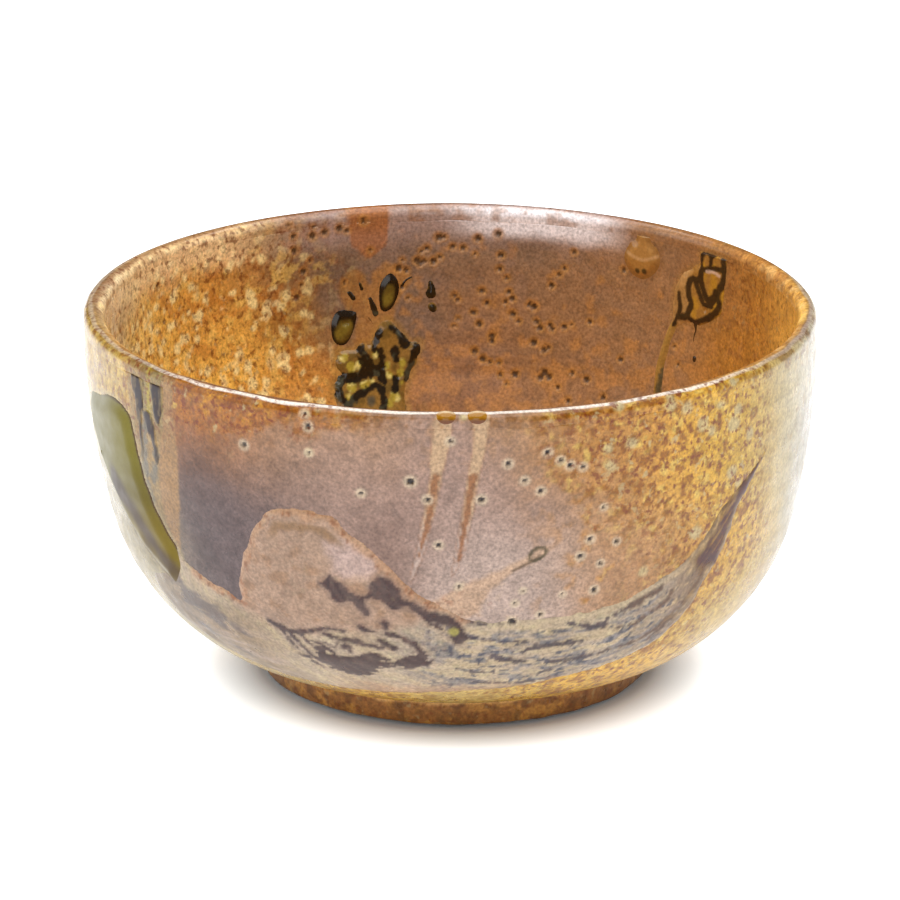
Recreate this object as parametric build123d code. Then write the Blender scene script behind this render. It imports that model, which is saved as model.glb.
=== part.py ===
from build123d import *
import os
from math import asin, cos, degrees, radians, sin, sqrt

# Matcha bowl in glazed stoneware: a thrown clay bowl on a foot ring, its glaze coats, and the
# poured, pooled and run glazes that stand proud of them. Millimetres, +Z up.
# Origin: centre of the circle that the foot stands on. The front is at -Y. Angles are in degrees
# about +Z, from the front, and positive towards +X.

# ---- driving dimensions -------------------------------------------------------------------
HEIGHT = 65.0
RIM_RADIUS = 62.5  # over the glaze
LIP_RADIUS = 1.7  # half-round edge of the lip, over the glaze
LIP_CENTRE_R = RIM_RADIUS - LIP_RADIUS
LIP_CENTRE_Z = HEIGHT - LIP_RADIUS
GLAZE = 0.45  # thickness of each glaze coat on the bowl
FOOT_GLAZE = 0.4

# Outer surface over the glaze: a slow wall arc that stands upright at WALL_TOP_Z, then a belly
# arc tangent to it, which runs under the bowl to the foot.
WALL_TOP_Z = 59.7
OUTER_WALL_ARC = 122.0
OUTER_BELLY_ARC = 34.1
OUTER_WALL_TURN = 14.3  # degrees of wall arc before the belly arc begins

# Inner surface over the glaze: the same kind of wall and belly arcs, down to a flat floor.
INNER_WALL_TOP_Z = 60.0
INNER_RIM_RADIUS = LIP_CENTRE_R - LIP_RADIUS
INNER_WALL_ARC = 100.0
INNER_BELLY_ARC = 35.0
FLOOR_RADIUS = 22.2
FLOOR_Z = 9.5

# Foot ring: it widens upwards to meet the belly.
FOOT_TOP_Z = 5.0
TREAD_OUTER_RADIUS = 31.8  # bare clay
TREAD_INNER_RADIUS = 27.4
FOOT_INNER_TOP_RADIUS = 26.6
TREAD_CHAMFER = 0.4
FOOT_GLAZE_START_Z = 0.5  # the coat outside the ring stops this far above the tread
WELL_GLAZE_START_Z = 0.9  # the coat inside the ring stops a little higher

RIM_SEAM_Z = 62.6  # where the rim glaze meets the coats below it, inside and outside

# How far each poured or run glaze stands proud of the coat below it.
SLIP_RISE = 0.2
BRUSH_RISE = 0.2
POOL_RISE = 0.8
DRIP_RISE = 0.6
RUN_RISE = 0.4

# ---- outlines of the poured and run glazes, as (angle, height) on the wall -----------------
POURED_SLIP = [(-50, 21), (-41, 27), (-35, 35), (-30, 43), (-24, 47), (-16, 45), (-8, 37.5),
               (1, 31), (12, 28), (25, 28.5), (35, 32.5), (46, 41), (56, 49), (55, 43),
               (46, 27), (36, 17.5), (22, 13.5), (0, 12.5), (-24, 13), (-40, 16)]
GREEN_POOL = [(-80, 50), (-72, 55), (-63, 55.5), (-57, 53), (-54, 46), (-52, 38), (-50, 30),
              (-53, 23), (-62, 26), (-74, 36)]
IRON_STREAKS = [
    [(-58, 61), (-50, 61.5), (-50.3, 52), (-51.5, 46), (-53, 50), (-54.5, 56)],
    [(45, 36), (52, 44.5), (56.5, 51), (53, 42.5), (47, 33)],
]
RIM_DRIPS = [(0, 1.4), (4.4, 1.2)]  # angle and half-width in millimetres
DRIP_LENGTH = 2.6
LEFT_RUN = [(-154, 43), (-157, 48.5), (-162, 49), (-165, 54), (-170, 54.5), (-173.5, 51),
            (-172, 45), (-175, 40), (-174, 30), (-165, 27), (-155, 29), (-157, 37)]
RIGHT_RUN = [(124, 62), (130, 61.5), (133, 55), (138, 50), (140, 38), (137, 36), (134, 44),
             (130, 42), (127, 49), (124, 54)]
INNER_DROP = [(139.5, 59), (141.5, 54), (145, 52.5), (148.5, 54.5), (149.5, 59), (144.5, 61.3)]

CUT_PAST = 10.0  # cutting shapes reach this far past the rim


# ---- surfaces of the bowl at any depth in its glaze ----------------------------------------
class Profile:
    """The bowl's outer or inner section, offset from the glazed surface by rise (+ outwards)."""

    def __init__(self, rim_radius, wall_top, wall_arc, belly_arc, wall_turn, side):
        self.side = side  # +1 outside, where a rise makes the arcs larger, -1 inside
        self.wall_top = wall_top
        self.wall_arc = wall_arc
        self.belly_arc = belly_arc
        self.turn = radians(wall_turn)
        self.rim_radius = rim_radius
        self.wall_centre = rim_radius - wall_arc
        reach = wall_arc - belly_arc
        self.belly_centre = Vector(self.wall_centre + reach * cos(self.turn),
                                   wall_top - reach * sin(self.turn))

    def radius(self, z, rise=0.0):
        """Radius of the section at height z."""
        grown = self.side * rise
        if z >= self.wall_top:
            return self.rim_radius + grown
        wall = self.wall_arc + grown
        if z >= self.wall_top - wall * sin(self.turn):
            return self.wall_centre + sqrt(wall ** 2 - (z - self.wall_top) ** 2)
        return self.belly_centre.X + sqrt((self.belly_arc + grown) ** 2
                                          - (z - self.belly_centre.Y) ** 2)

    def on_wall(self, z, rise):
        return (self.radius(z, rise), z)

    def joint(self, rise):
        """Point where the wall arc becomes the belly arc."""
        wall = self.wall_arc + self.side * rise
        return (self.wall_centre + wall * cos(self.turn), self.wall_top - wall * sin(self.turn))

    def wall_middle(self, rise):
        wall = self.wall_arc + self.side * rise
        return (self.wall_centre + wall * cos(self.turn / 2),
                self.wall_top - wall * sin(self.turn / 2))

    def belly_point(self, down, rise):
        """Point of the belly arc at an angle below the horizontal, in degrees."""
        belly = self.belly_arc + self.side * rise
        return (self.belly_centre.X + belly * cos(radians(down)),
                self.belly_centre.Y - belly * sin(radians(down)))


OUTSIDE = Profile(RIM_RADIUS, WALL_TOP_Z, OUTER_WALL_ARC, OUTER_BELLY_ARC, OUTER_WALL_TURN, 1)
INNER_WALL_TURN = degrees(asin((INNER_WALL_TOP_Z - FLOOR_Z - INNER_BELLY_ARC)
                               / (INNER_WALL_ARC - INNER_BELLY_ARC)))
INSIDE = Profile(INNER_RIM_RADIUS, INNER_WALL_TOP_Z, INNER_WALL_ARC, INNER_BELLY_ARC,
                 INNER_WALL_TURN, -1)


def outer_line(bottom_z, top_z, rise):
    """Outer section from bottom_z, on the belly arc, up to top_z, on the upright wall."""
    start = OUTSIDE.on_wall(bottom_z, rise)
    belly = OUTER_BELLY_ARC + rise
    low = degrees(asin((OUTSIDE.belly_centre.Y - bottom_z) / belly))
    middle = OUTSIDE.belly_point((low + OUTER_WALL_TURN) / 2, rise)
    joint = OUTSIDE.joint(rise)
    upright = (RIM_RADIUS + rise, WALL_TOP_Z)
    return [ThreePointArc(start, middle, joint),
            ThreePointArc(joint, OUTSIDE.wall_middle(rise), upright),
            Line(upright, (RIM_RADIUS + rise, top_z))]


def inner_line(top_z, rise):
    """Inner section from the middle of the floor out to its edge and up to top_z."""
    floor_z = FLOOR_Z + rise
    joint = INSIDE.joint(rise)
    middle = INSIDE.belly_point((90 + INNER_WALL_TURN) / 2, rise)
    upright = (INNER_RIM_RADIUS - rise, INNER_WALL_TOP_Z)
    return [Line((0, floor_z), (FLOOR_RADIUS, floor_z)),
            ThreePointArc((FLOOR_RADIUS, floor_z), middle, joint),
            ThreePointArc(joint, INSIDE.wall_middle(rise), upright),
            Line(upright, (INNER_RIM_RADIUS - rise, top_z))]


def lip_arc(rise):
    """Half-round lip, from outside to inside."""
    r = LIP_RADIUS + rise
    return ThreePointArc((LIP_CENTRE_R + r, LIP_CENTRE_Z), (LIP_CENTRE_R, LIP_CENTRE_Z + r),
                         (LIP_CENTRE_R - r, LIP_CENTRE_Z))


def turned(lines):
    """The solid turned about the Z axis from a closed section of lines, drawn as (radius, z)."""
    section = make_face([Plane.XZ * line for line in lines])
    return revolve(section, Axis.Z)


# ---- the fired body ------------------------------------------------------------------------
def clay_bowl():
    """Bare clay under the glaze: wall, belly, floor and lip. Its underside is flat."""
    bottom_edge = OUTSIDE.on_wall(FOOT_TOP_Z, -GLAZE)
    return turned([Line((0, FOOT_TOP_Z), bottom_edge),
                   *outer_line(FOOT_TOP_Z, LIP_CENTRE_Z, -GLAZE),
                   lip_arc(-GLAZE),
                   *inner_line(LIP_CENTRE_Z, -GLAZE),
                   Line((0, FLOOR_Z - GLAZE), (0, FOOT_TOP_Z))])


def foot_top_radius():
    """The glazed foot ring is as wide at its top as the glazed belly that it meets."""
    return OUTSIDE.radius(FOOT_TOP_Z) - FOOT_GLAZE


def foot_ring():
    """Clay ring under the bowl, with a bare flat tread and small chamfers."""
    section = Polyline((FOOT_INNER_TOP_RADIUS, FOOT_TOP_Z),
                       (TREAD_INNER_RADIUS, TREAD_CHAMFER),
                       (TREAD_INNER_RADIUS + TREAD_CHAMFER, 0),
                       (TREAD_OUTER_RADIUS - TREAD_CHAMFER, 0),
                       (TREAD_OUTER_RADIUS, TREAD_CHAMFER),
                       (foot_top_radius(), FOOT_TOP_Z),
                       close=True)
    return turned([section])


# ---- glaze coats ---------------------------------------------------------------------------
def outer_glaze():
    """Coat on the outer wall and belly, from the foot ring up to the rim glaze."""
    return turned([*outer_line(FOOT_TOP_Z, RIM_SEAM_Z, 0),
                   Line((RIM_RADIUS, RIM_SEAM_Z), (RIM_RADIUS - GLAZE, RIM_SEAM_Z)),
                   *outer_line(FOOT_TOP_Z, RIM_SEAM_Z, -GLAZE),
                   Line(OUTSIDE.on_wall(FOOT_TOP_Z, -GLAZE), OUTSIDE.on_wall(FOOT_TOP_Z, 0))])


def inner_glaze():
    """Coat on the floor and inner wall, up to the rim glaze."""
    return turned([*inner_line(RIM_SEAM_Z, 0),
                   Line((INNER_RIM_RADIUS, RIM_SEAM_Z), (INNER_RIM_RADIUS + GLAZE, RIM_SEAM_Z)),
                   *inner_line(RIM_SEAM_Z, -GLAZE),
                   Line((0, FLOOR_Z), (0, FLOOR_Z - GLAZE))])


def rim_glaze():
    """Separate glaze dipped over the lip."""
    outer, inner = RIM_RADIUS, INNER_RIM_RADIUS
    return turned([Line((outer, RIM_SEAM_Z), (outer, LIP_CENTRE_Z)),
                   lip_arc(0),
                   Line((inner, LIP_CENTRE_Z), (inner, RIM_SEAM_Z)),
                   Line((inner, RIM_SEAM_Z), (inner + GLAZE, RIM_SEAM_Z)),
                   Line((inner + GLAZE, RIM_SEAM_Z), (inner + GLAZE, LIP_CENTRE_Z)),
                   lip_arc(-GLAZE),
                   Line((outer - GLAZE, LIP_CENTRE_Z), (outer - GLAZE, RIM_SEAM_Z)),
                   Line((outer - GLAZE, RIM_SEAM_Z), (outer, RIM_SEAM_Z))])


def on_slope(z, bottom_radius, top_radius):
    """Radius at height z of a ring side that runs straight from the chamfer to the ring's top."""
    share = (z - TREAD_CHAMFER) / (FOOT_TOP_Z - TREAD_CHAMFER)
    return bottom_radius + share * (top_radius - bottom_radius)


def foot_glaze():
    """Coat on the outer side of the foot ring, stopping short of the tread."""
    low = on_slope(FOOT_GLAZE_START_Z, TREAD_OUTER_RADIUS, foot_top_radius())
    return turned([Polyline((low, FOOT_GLAZE_START_Z),
                            (low + FOOT_GLAZE, FOOT_GLAZE_START_Z),
                            (foot_top_radius() + FOOT_GLAZE, FOOT_TOP_Z),
                            (foot_top_radius(), FOOT_TOP_Z),
                            close=True)])


def foot_well_glaze():
    """Coat on the roof of the recess inside the foot ring and down the ring's inner side."""
    roof_z = FOOT_TOP_Z - FOOT_GLAZE
    low = on_slope(WELL_GLAZE_START_Z, TREAD_INNER_RADIUS, FOOT_INNER_TOP_RADIUS)
    corner = on_slope(roof_z, TREAD_INNER_RADIUS, FOOT_INNER_TOP_RADIUS) - FOOT_GLAZE
    return turned([Polyline((0, FOOT_TOP_Z), (0, roof_z), (corner, roof_z),
                            (low - FOOT_GLAZE, WELL_GLAZE_START_Z),
                            (low, WELL_GLAZE_START_Z),
                            (FOOT_INNER_TOP_RADIUS, FOOT_TOP_Z),
                            close=True)])


# ---- poured, pooled and run glazes ---------------------------------------------------------
def outer_layer(rise):
    """Layer of the given thickness on the outer glaze, all round."""
    return turned([*outer_line(FOOT_TOP_Z + 1, RIM_SEAM_Z, rise),
                   Line((RIM_RADIUS + rise, RIM_SEAM_Z), (RIM_RADIUS, RIM_SEAM_Z)),
                   *outer_line(FOOT_TOP_Z + 1, RIM_SEAM_Z, 0),
                   Line(OUTSIDE.on_wall(FOOT_TOP_Z + 1, 0), OUTSIDE.on_wall(FOOT_TOP_Z + 1, rise))])


def inner_layer(rise):
    """Layer of the given thickness on the inner glaze, all round."""
    return turned([*inner_line(RIM_SEAM_Z, rise),
                   Line((INNER_RIM_RADIUS - rise, RIM_SEAM_Z), (INNER_RIM_RADIUS, RIM_SEAM_Z)),
                   *inner_line(RIM_SEAM_Z, 0),
                   Line((0, FLOOR_Z), (0, FLOOR_Z + rise))])


def facing(angle):
    """Plane through the bowl's axis that looks outwards at an angle: x runs round, y runs up."""
    around = Vector(cos(radians(angle)), sin(radians(angle)), 0)
    outward = Vector(sin(radians(angle)), -cos(radians(angle)), 0)
    return Plane(origin=(0, 0, 0), x_dir=around, z_dir=outward)


def patch(outline, profile, layer):
    """The part of a layer inside a smooth outline, which is cut through it along the radius."""
    angles = [angle for angle, z in outline]
    middle = (min(angles) + max(angles)) / 2
    flat = [(profile.radius(z) * sin(radians(angle - middle)), z) for angle, z in outline]
    ring = facing(middle) * Spline(*flat, periodic=True)
    cutter = extrude(make_face(ring), RIM_RADIUS + CUT_PAST, dir=facing(middle).z_dir)
    return layer & cutter


def poured_slip():
    """Pale slip poured round the lower front in a wave with a raised hill at its left."""
    return patch(POURED_SLIP, OUTSIDE, outer_layer(SLIP_RISE))


def green_glaze_pool():
    """Thick green glass that ran down the left side and stopped against the slip."""
    layer = outer_layer(POOL_RISE)
    return patch(GREEN_POOL, OUTSIDE, layer) - patch(POURED_SLIP, OUTSIDE, layer)


def iron_streaks():
    """Dark iron pigment: a streak under the rim at the left and a brushed tip at the right."""
    layer = outer_layer(BRUSH_RISE)
    taken = patch(GREEN_POOL, OUTSIDE, layer) + patch(POURED_SLIP, OUTSIDE, layer)
    return [patch(streak, OUTSIDE, layer) - taken for streak in IRON_STREAKS]


def rim_drips():
    """Two short half-round drips that hang from the rim glaze at the front."""
    drips = []
    layer = outer_layer(DRIP_RISE)
    for angle, half_width in RIM_DRIPS:
        tip = Circle(half_width)
        stem = Pos(0, DRIP_LENGTH) * Rectangle(2 * half_width, 2 * DRIP_LENGTH)
        outline = Pos(0, RIM_SEAM_Z - DRIP_LENGTH + half_width) * (tip + stem)
        cutter = extrude(facing(angle) * outline, RIM_RADIUS + CUT_PAST,
                         dir=facing(angle).z_dir)
        drips.append(layer & cutter)
    return drips


def inner_run_left():
    """Dark run of beads down the back wall, left of centre."""
    return patch(LEFT_RUN, INSIDE, inner_layer(RUN_RISE))


def inner_run_right():
    """Dark run down the back wall at the right, from under the rim."""
    return patch(RIGHT_RUN, INSIDE, inner_layer(RUN_RISE))


def inner_drop():
    """Single round drop on the back wall under the rim."""
    return patch(INNER_DROP, INSIDE, inner_layer(RUN_RISE))


# ---- one file for each node ----------------------------------------------------------------
PARTS = [clay_bowl, foot_ring, outer_glaze, inner_glaze, rim_glaze, foot_glaze, foot_well_glaze,
         poured_slip, green_glaze_pool, iron_streaks, rim_drips, inner_run_left,
         inner_run_right, inner_drop]

os.makedirs("parts", exist_ok=True)
for build in PARTS:
    made = build()
    solids = []
    for piece in made if isinstance(made, list) else [made]:
        solids += piece.solids()
    name = build.__name__
    node = Compound(label=name, children=solids)
    export_step(node, os.path.join("parts", name + ".step"))
    print(name, len(solids), "solid(s)", round(sum(s.volume for s in solids), 1), "mm3")
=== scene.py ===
import itertools
import math

import bpy
import numpy as np
from mathutils import Matrix, Vector


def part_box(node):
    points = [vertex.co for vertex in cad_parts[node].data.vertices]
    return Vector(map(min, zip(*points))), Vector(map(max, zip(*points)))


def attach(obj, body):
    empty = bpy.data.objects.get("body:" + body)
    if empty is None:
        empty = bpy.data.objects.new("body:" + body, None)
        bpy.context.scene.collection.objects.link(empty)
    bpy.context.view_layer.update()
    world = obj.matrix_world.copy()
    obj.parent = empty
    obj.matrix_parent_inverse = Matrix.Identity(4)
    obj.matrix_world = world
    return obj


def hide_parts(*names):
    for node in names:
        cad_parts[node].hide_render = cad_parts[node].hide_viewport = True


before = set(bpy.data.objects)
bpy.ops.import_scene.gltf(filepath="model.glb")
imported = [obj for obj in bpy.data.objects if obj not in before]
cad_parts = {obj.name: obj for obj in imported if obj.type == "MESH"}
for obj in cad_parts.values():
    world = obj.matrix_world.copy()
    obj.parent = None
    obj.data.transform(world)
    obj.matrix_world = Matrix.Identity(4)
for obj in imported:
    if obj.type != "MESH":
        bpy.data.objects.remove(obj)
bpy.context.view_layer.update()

# Matcha bowl: the fired surface of a hand-thrown bowl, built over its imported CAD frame.
# Lengths are in millimetres until a mesh is made. Angles are in degrees round the bowl from the
# front (-Y), positive towards +X; s is the distance along a section of the wall.

MM = 0.001
BODY = "root"


def top_of(node):
    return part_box(node)[1].z / MM


def radius_of(node):
    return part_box(node)[1].x / MM


# ---- sections of the bowl, from the frame's sizes and the arcs of its walls -----------------
RIM_RADIUS = radius_of("outer_glaze")
HEIGHT = top_of("rim_glaze")
FOOT_TOP_Z = top_of("foot_ring")
RIM_SEAM_Z = top_of("outer_glaze")
GLAZE, THIN_GLAZE = 0.45, 0.4  # how thick a coat is, on the walls and on the rim and foot
FLOOR_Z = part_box("inner_glaze")[0].z / MM + GLAZE
LIP_RADIUS = 1.7
HUB_R = 0.4  # grids across the axis start this far out, round a fan of triangles
WALL_TOP_Z, OUTER_WALL_ARC, OUTER_BELLY_ARC, OUTER_WALL_TURN = 59.7, 122.0, 34.1, 14.3
INNER_WALL_TOP_Z, INNER_WALL_ARC, INNER_BELLY_ARC, FLOOR_RADIUS = 60.0, 100.0, 35.0, 22.2
LEAN = 0.0173  # the wall leans this much towards -X for each unit of height, as thrown by hand
PAST_RIM_Z = 68.0  # drawings on a wall carry on this high, for what crosses the lip
UNROLLED = math.pi / 180 * 58.0  # millimetres for each degree round a typical part of the wall


class Section:
    """A line (r, z) up a wall, sampled closely, with its outward normal, by distance s."""

    def __init__(self, points, flip=1):
        self.r, self.z = np.array(points, float).T
        dr, dz = np.gradient(self.r), np.gradient(self.z)
        length = np.hypot(dr, dz)
        self.nr, self.nz = flip * dz / length, -flip * dr / length
        self.s = np.concatenate([[0], np.cumsum(np.hypot(np.diff(self.r), np.diff(self.z)))])

    def at(self, s):
        return [np.interp(s, self.s, v) for v in (self.r, self.z, self.nr, self.nz)]

    def s_at_height(self, z):
        return np.interp(z, self.z, self.s)

    @property
    def length(self):
        return float(self.s[-1])


def arc(centre, radius, start, end, count=160):
    """Points of an arc from start to end, in degrees above the horizontal."""
    turn = np.radians(np.linspace(start, end, count))
    return list(zip(centre[0] + radius * np.cos(turn), centre[1] + radius * np.sin(turn)))


def outer_section():
    wall_centre = (RIM_RADIUS - OUTER_WALL_ARC, WALL_TOP_Z)
    reach, turn = OUTER_WALL_ARC - OUTER_BELLY_ARC, math.radians(OUTER_WALL_TURN)
    belly_centre = (wall_centre[0] + reach * math.cos(turn), WALL_TOP_Z - reach * math.sin(turn))
    low = -math.degrees(math.asin((belly_centre[1] - FOOT_TOP_Z) / OUTER_BELLY_ARC))
    points = arc(belly_centre, OUTER_BELLY_ARC, low, -OUTER_WALL_TURN)
    points += arc(wall_centre, OUTER_WALL_ARC, -OUTER_WALL_TURN, 0)[1:]
    points += [(RIM_RADIUS, z) for z in np.linspace(WALL_TOP_Z, PAST_RIM_Z, 20)[1:]]
    return Section(points)


def inner_section():
    rim = RIM_RADIUS - 2 * LIP_RADIUS
    wall_centre = (rim - INNER_WALL_ARC, INNER_WALL_TOP_Z)
    rise, reach = INNER_WALL_TOP_Z - FLOOR_Z - INNER_BELLY_ARC, INNER_WALL_ARC - INNER_BELLY_ARC
    turn = math.degrees(math.asin(rise / reach))
    belly_centre = (FLOOR_RADIUS, FLOOR_Z + INNER_BELLY_ARC)
    points = [(r, FLOOR_Z) for r in np.linspace(HUB_R, FLOOR_RADIUS, 60)]
    points += arc(belly_centre, INNER_BELLY_ARC, -90, -turn)[1:]
    points += arc(wall_centre, INNER_WALL_ARC, -turn, 0)[1:]
    points += [(rim, z) for z in np.linspace(INNER_WALL_TOP_Z, PAST_RIM_Z, 20)[1:]]
    return Section(points, flip=-1)


OUTER, INNER = outer_section(), inner_section()


def place(angle, r, z):
    """Points in millimetres at an angle, radius and height, with the bowl's lean."""
    a, r, z = np.broadcast_arrays(np.radians(angle), r, z)
    return np.stack([r * np.sin(a) - LEAN * z, -r * np.cos(a), z], axis=-1)


def wrapped(angle):
    """The same angle from -180 to 180."""
    return (np.asarray(angle) + 180) % 360 - 180


# ---- noise and outlines --------------------------------------------------------------------
def lattice(i, j, k, seed):
    """A repeatable value from -1 to 1 for each whole-number cell."""
    h = (i * 374761393 + j * 668265263 + k * 1274126177 + seed * 362437) & 0xFFFFFFFF
    h = ((h ^ (h >> 13)) * 1103515245) & 0xFFFFFFFF
    h = ((h ^ (h >> 16)) * 2246822519) & 0xFFFFFFFF
    return ((h ^ (h >> 15)) & 0xFFFF) / 32767.5 - 1


def noise(p, size, seed, octaves=1):
    """Smooth noise, about -1 to 1, at points p in millimetres, with features of that size."""
    total, gain, norm = np.zeros(p.shape[:-1]), 1.0, 0.0
    for octave in range(octaves):
        q = p / size * 2 ** octave + 17.3 * octave
        cell = np.floor(q).astype(np.int64)
        f = q - cell
        f = f * f * (3 - 2 * f)
        value = np.zeros(p.shape[:-1])
        for corner in itertools.product((0, 1), repeat=3):
            weight = np.prod([f[..., n] if c else 1 - f[..., n] for n, c in enumerate(corner)],
                             axis=0)
            value += weight * lattice(*[cell[..., n] + c for n, c in enumerate(corner)],
                                      seed + 31 * octave)
        total, gain, norm = total + gain * value, gain * 0.5, norm + gain
    return total / norm * 1.4


def step(value, low, high):
    """0 below low and 1 above high, smooth between. low may be the larger one."""
    t = np.clip((value - low) / (high - low), 0, 1)
    return t * t * (3 - 2 * t)


def smooth_line(points, closed, parts=6):
    """A smooth line through the points."""
    p = np.array(points, float)
    n = len(p)
    out = []
    for i in range(n if closed else n - 1):
        near = [(i + k) % n if closed else min(max(i + k, 0), n - 1) for k in (-1, 0, 1, 2)]
        before, a, b, after = p[near]
        for t in np.linspace(0, 1, parts, endpoint=False):
            square = (2 * before - 5 * a + 4 * b - after) * t ** 2
            cube = (3 * a - before - 3 * b + after) * t ** 3
            out.append(0.5 * (2 * a + (b - before) * t + square + cube))
    if not closed:
        out.append(p[-1])
    return np.array(out)


def to_line(x, y, line, closed):
    """Distance from each point to the line, and how far along the line that is, 0 to 1."""
    a = line if closed else line[:-1]
    b = np.roll(line, -1, axis=0) if closed else line[1:]
    best, along = np.full(x.shape, 1e9), np.zeros(x.shape)
    for i, ((ax, ay), (bx, by)) in enumerate(zip(a, b)):
        dx, dy = bx - ax, by - ay
        t = np.clip(((x - ax) * dx + (y - ay) * dy) / max(dx * dx + dy * dy, 1e-12), 0, 1)
        d = (x - ax - t * dx) ** 2 + (y - ay - t * dy) ** 2
        near = d < best
        best, along = np.where(near, d, best), np.where(near, (i + t) / len(a), along)
    return np.sqrt(best), along


def flat_points(x, y):
    """Points for noise that varies along x and y only."""
    return np.stack([x, y, np.zeros_like(x)], axis=-1)


FAR = 30.0  # millimetres beyond which a distance to an outline doesn't matter


class Wall:
    """Points on a wall of the bowl: where they are, and distances to outlines drawn on it.

    The lip's points take their place on a drawing from the wall that they continue: coat is that
    wall's section, and up is the distance along it.
    """

    def __init__(self, section, angle, s, coat=None, up=None):
        self.coat = coat or section
        self.angle, self.s = np.broadcast_arrays(angle, s)
        self.r, self.z, self.nr, self.nz = section.at(self.s)
        self.turned = self.angle % 360 if self.coat is INNER else wrapped(self.angle)
        self.shown = 180 if self.coat is INNER else 0  # the side that faces the camera
        self.x = self.turned * UNROLLED
        self.y = self.s if up is None else np.broadcast_to(up, self.s.shape)
        self.p = place(self.angle, self.r, self.z)
        a = np.radians(self.angle)
        self.normal = np.stack([np.sin(a) * self.nr, -np.cos(a) * self.nr, self.nz], axis=-1)

    def flat(self, points):
        """(angle, height) points as flat (x, y) in millimetres."""
        p = np.array(points, float)
        angle = p[:, 0] % 360 if self.coat is INNER else p[:, 0]
        return np.stack([angle * UNROLLED, self.coat.s_at_height(p[:, 1])], axis=1)

    def inside(self, points, warp=0.0, parts=6):
        """Distance in millimetres from a smooth closed outline, negative inside it."""
        line = smooth_line(self.flat(points), True, parts)
        (left, low), (right, high) = line.min(axis=0) - FAR, line.max(axis=0) + FAR
        near = (self.x > left) & (self.x < right) & (self.y > low) & (self.y < high)
        out = np.full(self.x.shape, FAR)
        x, y = self.x[near], self.y[near]
        distance, _ = to_line(x, y, line, True)
        crossings = np.zeros(x.shape, bool)
        for (ax, ay), (bx, by) in zip(line, np.roll(line, -1, axis=0)):
            spans = (ay > y) != (by > y)
            crossings ^= spans & (x < (bx - ax) * (y - ay) / (by - ay + 1e-12) + ax)
        out[near] = np.where(crossings, -distance, distance)
        return out + warp

    def inside_any(self, outlines, warp=0.0):
        """The same for whichever outline is nearest."""
        return np.min([self.inside(outline, warp) for outline in outlines], axis=0)

    def along(self, points):
        """(distance from a smooth open line, position along it from 0 to 1)."""
        return to_line(self.x, self.y, smooth_line(self.flat(points), False), False)

    def spots(self, spots):
        """Distance beyond the edge of the nearest (angle, height, radius) spot."""
        out = np.full(self.x.shape, FAR)
        for angle, z, radius in spots:
            (x, y), = self.flat([(angle, z)])
            out = np.minimum(out, np.hypot(self.x - x, self.y - y) - radius)
        return out

    def brushed(self, strokes):
        """Distance beyond the edge of the nearest stroke: (points, start and end half-width)."""
        out = np.full(self.x.shape, FAR)
        for points, start, end in strokes:
            distance, along = self.along(points)
            out = np.minimum(out, distance - start - along * (end - start))
        return out

    def noise(self, size, seed, octaves=1):
        return noise(self.p, size, seed, octaves)

    def cloud(self, size, seed, octaves, low, high):
        """Soft patches, 0 to 1, where that noise passes from low to high."""
        return step(noise(self.p, size, seed, octaves), low, high)

    def near(self, angle, far, close):
        """1 within close degrees of an angle round the wall, and 0 beyond far degrees."""
        return step(np.abs(self.turned - angle), far, close)

    def streaks(self, around, up, seed, octaves=2):
        """Noise whose features are that long round the wall and up it."""
        return noise(flat_points(self.x / around, self.y / up), 1, seed, octaves)


# ---- colours -------------------------------------------------------------------------------
def tone(r, g, b):
    """The look of a glaze in the studio's light, 0 to 255, as linear light."""
    c = np.array([r, g, b], float) / 255
    return np.where(c > 0.04045, ((c + 0.055) / 1.055) ** 2.4, c / 12.92)


OUTSIDE_LIGHT, OUTSIDE_SHEEN = 1.70, 0.055  # light on a white wall, and what its gloss mirrors
INSIDE_LIGHT, INSIDE_SHEEN = 0.92, 0.0  # the same on the inner walls, which shade one another
LEAST_SEEN = 0.12  # the share of a dark look that is never put down to sheen


def fired(seen, share=0.0):
    """The glaze's own colour, from how it looks: share is 0 outside the bowl and 1 inside."""
    share = np.asarray(share, float)[..., None]
    light = OUTSIDE_LIGHT + share * (INSIDE_LIGHT - OUTSIDE_LIGHT)
    sheen = OUTSIDE_SHEEN + share * (INSIDE_SHEEN - OUTSIDE_SHEEN)
    return np.clip(np.maximum(seen - sheen, LEAST_SEEN * seen) / light, 0, 0.9)


def lit(paint, share=0.0):
    paint["tone"] = fired(paint["tone"], share)
    return paint


RUST = tone(184, 122, 66)
RUST_BROWN = tone(138, 84, 32)
PLUM = tone(122, 106, 104)
PLUM_BROWN = tone(148, 120, 108)
MAUVE = tone(172, 143, 129)
LILAC = tone(192, 168, 154)
TAN = tone(180, 139, 104)
AMBER = tone(202, 148, 76)
GOLD = tone(228, 178, 80)
STRAW = tone(208, 178, 112)
CREAM = tone(206, 186, 140)
PALE = tone(218, 206, 180)
BEIGE = tone(202, 168, 98)
FLAX = tone(206, 166, 78)
ORANGE_TAN = tone(190, 138, 84)
OLIVE_BEIGE = tone(176, 156, 112)
MOSS_BLACK = tone(34, 30, 14)
OCHRE = tone(188, 132, 58)
UMBER = tone(122, 98, 78)
SIENNA = tone(142, 104, 70)
CHESTNUT = tone(138, 95, 58)
HONEY = tone(166, 112, 44)

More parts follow.
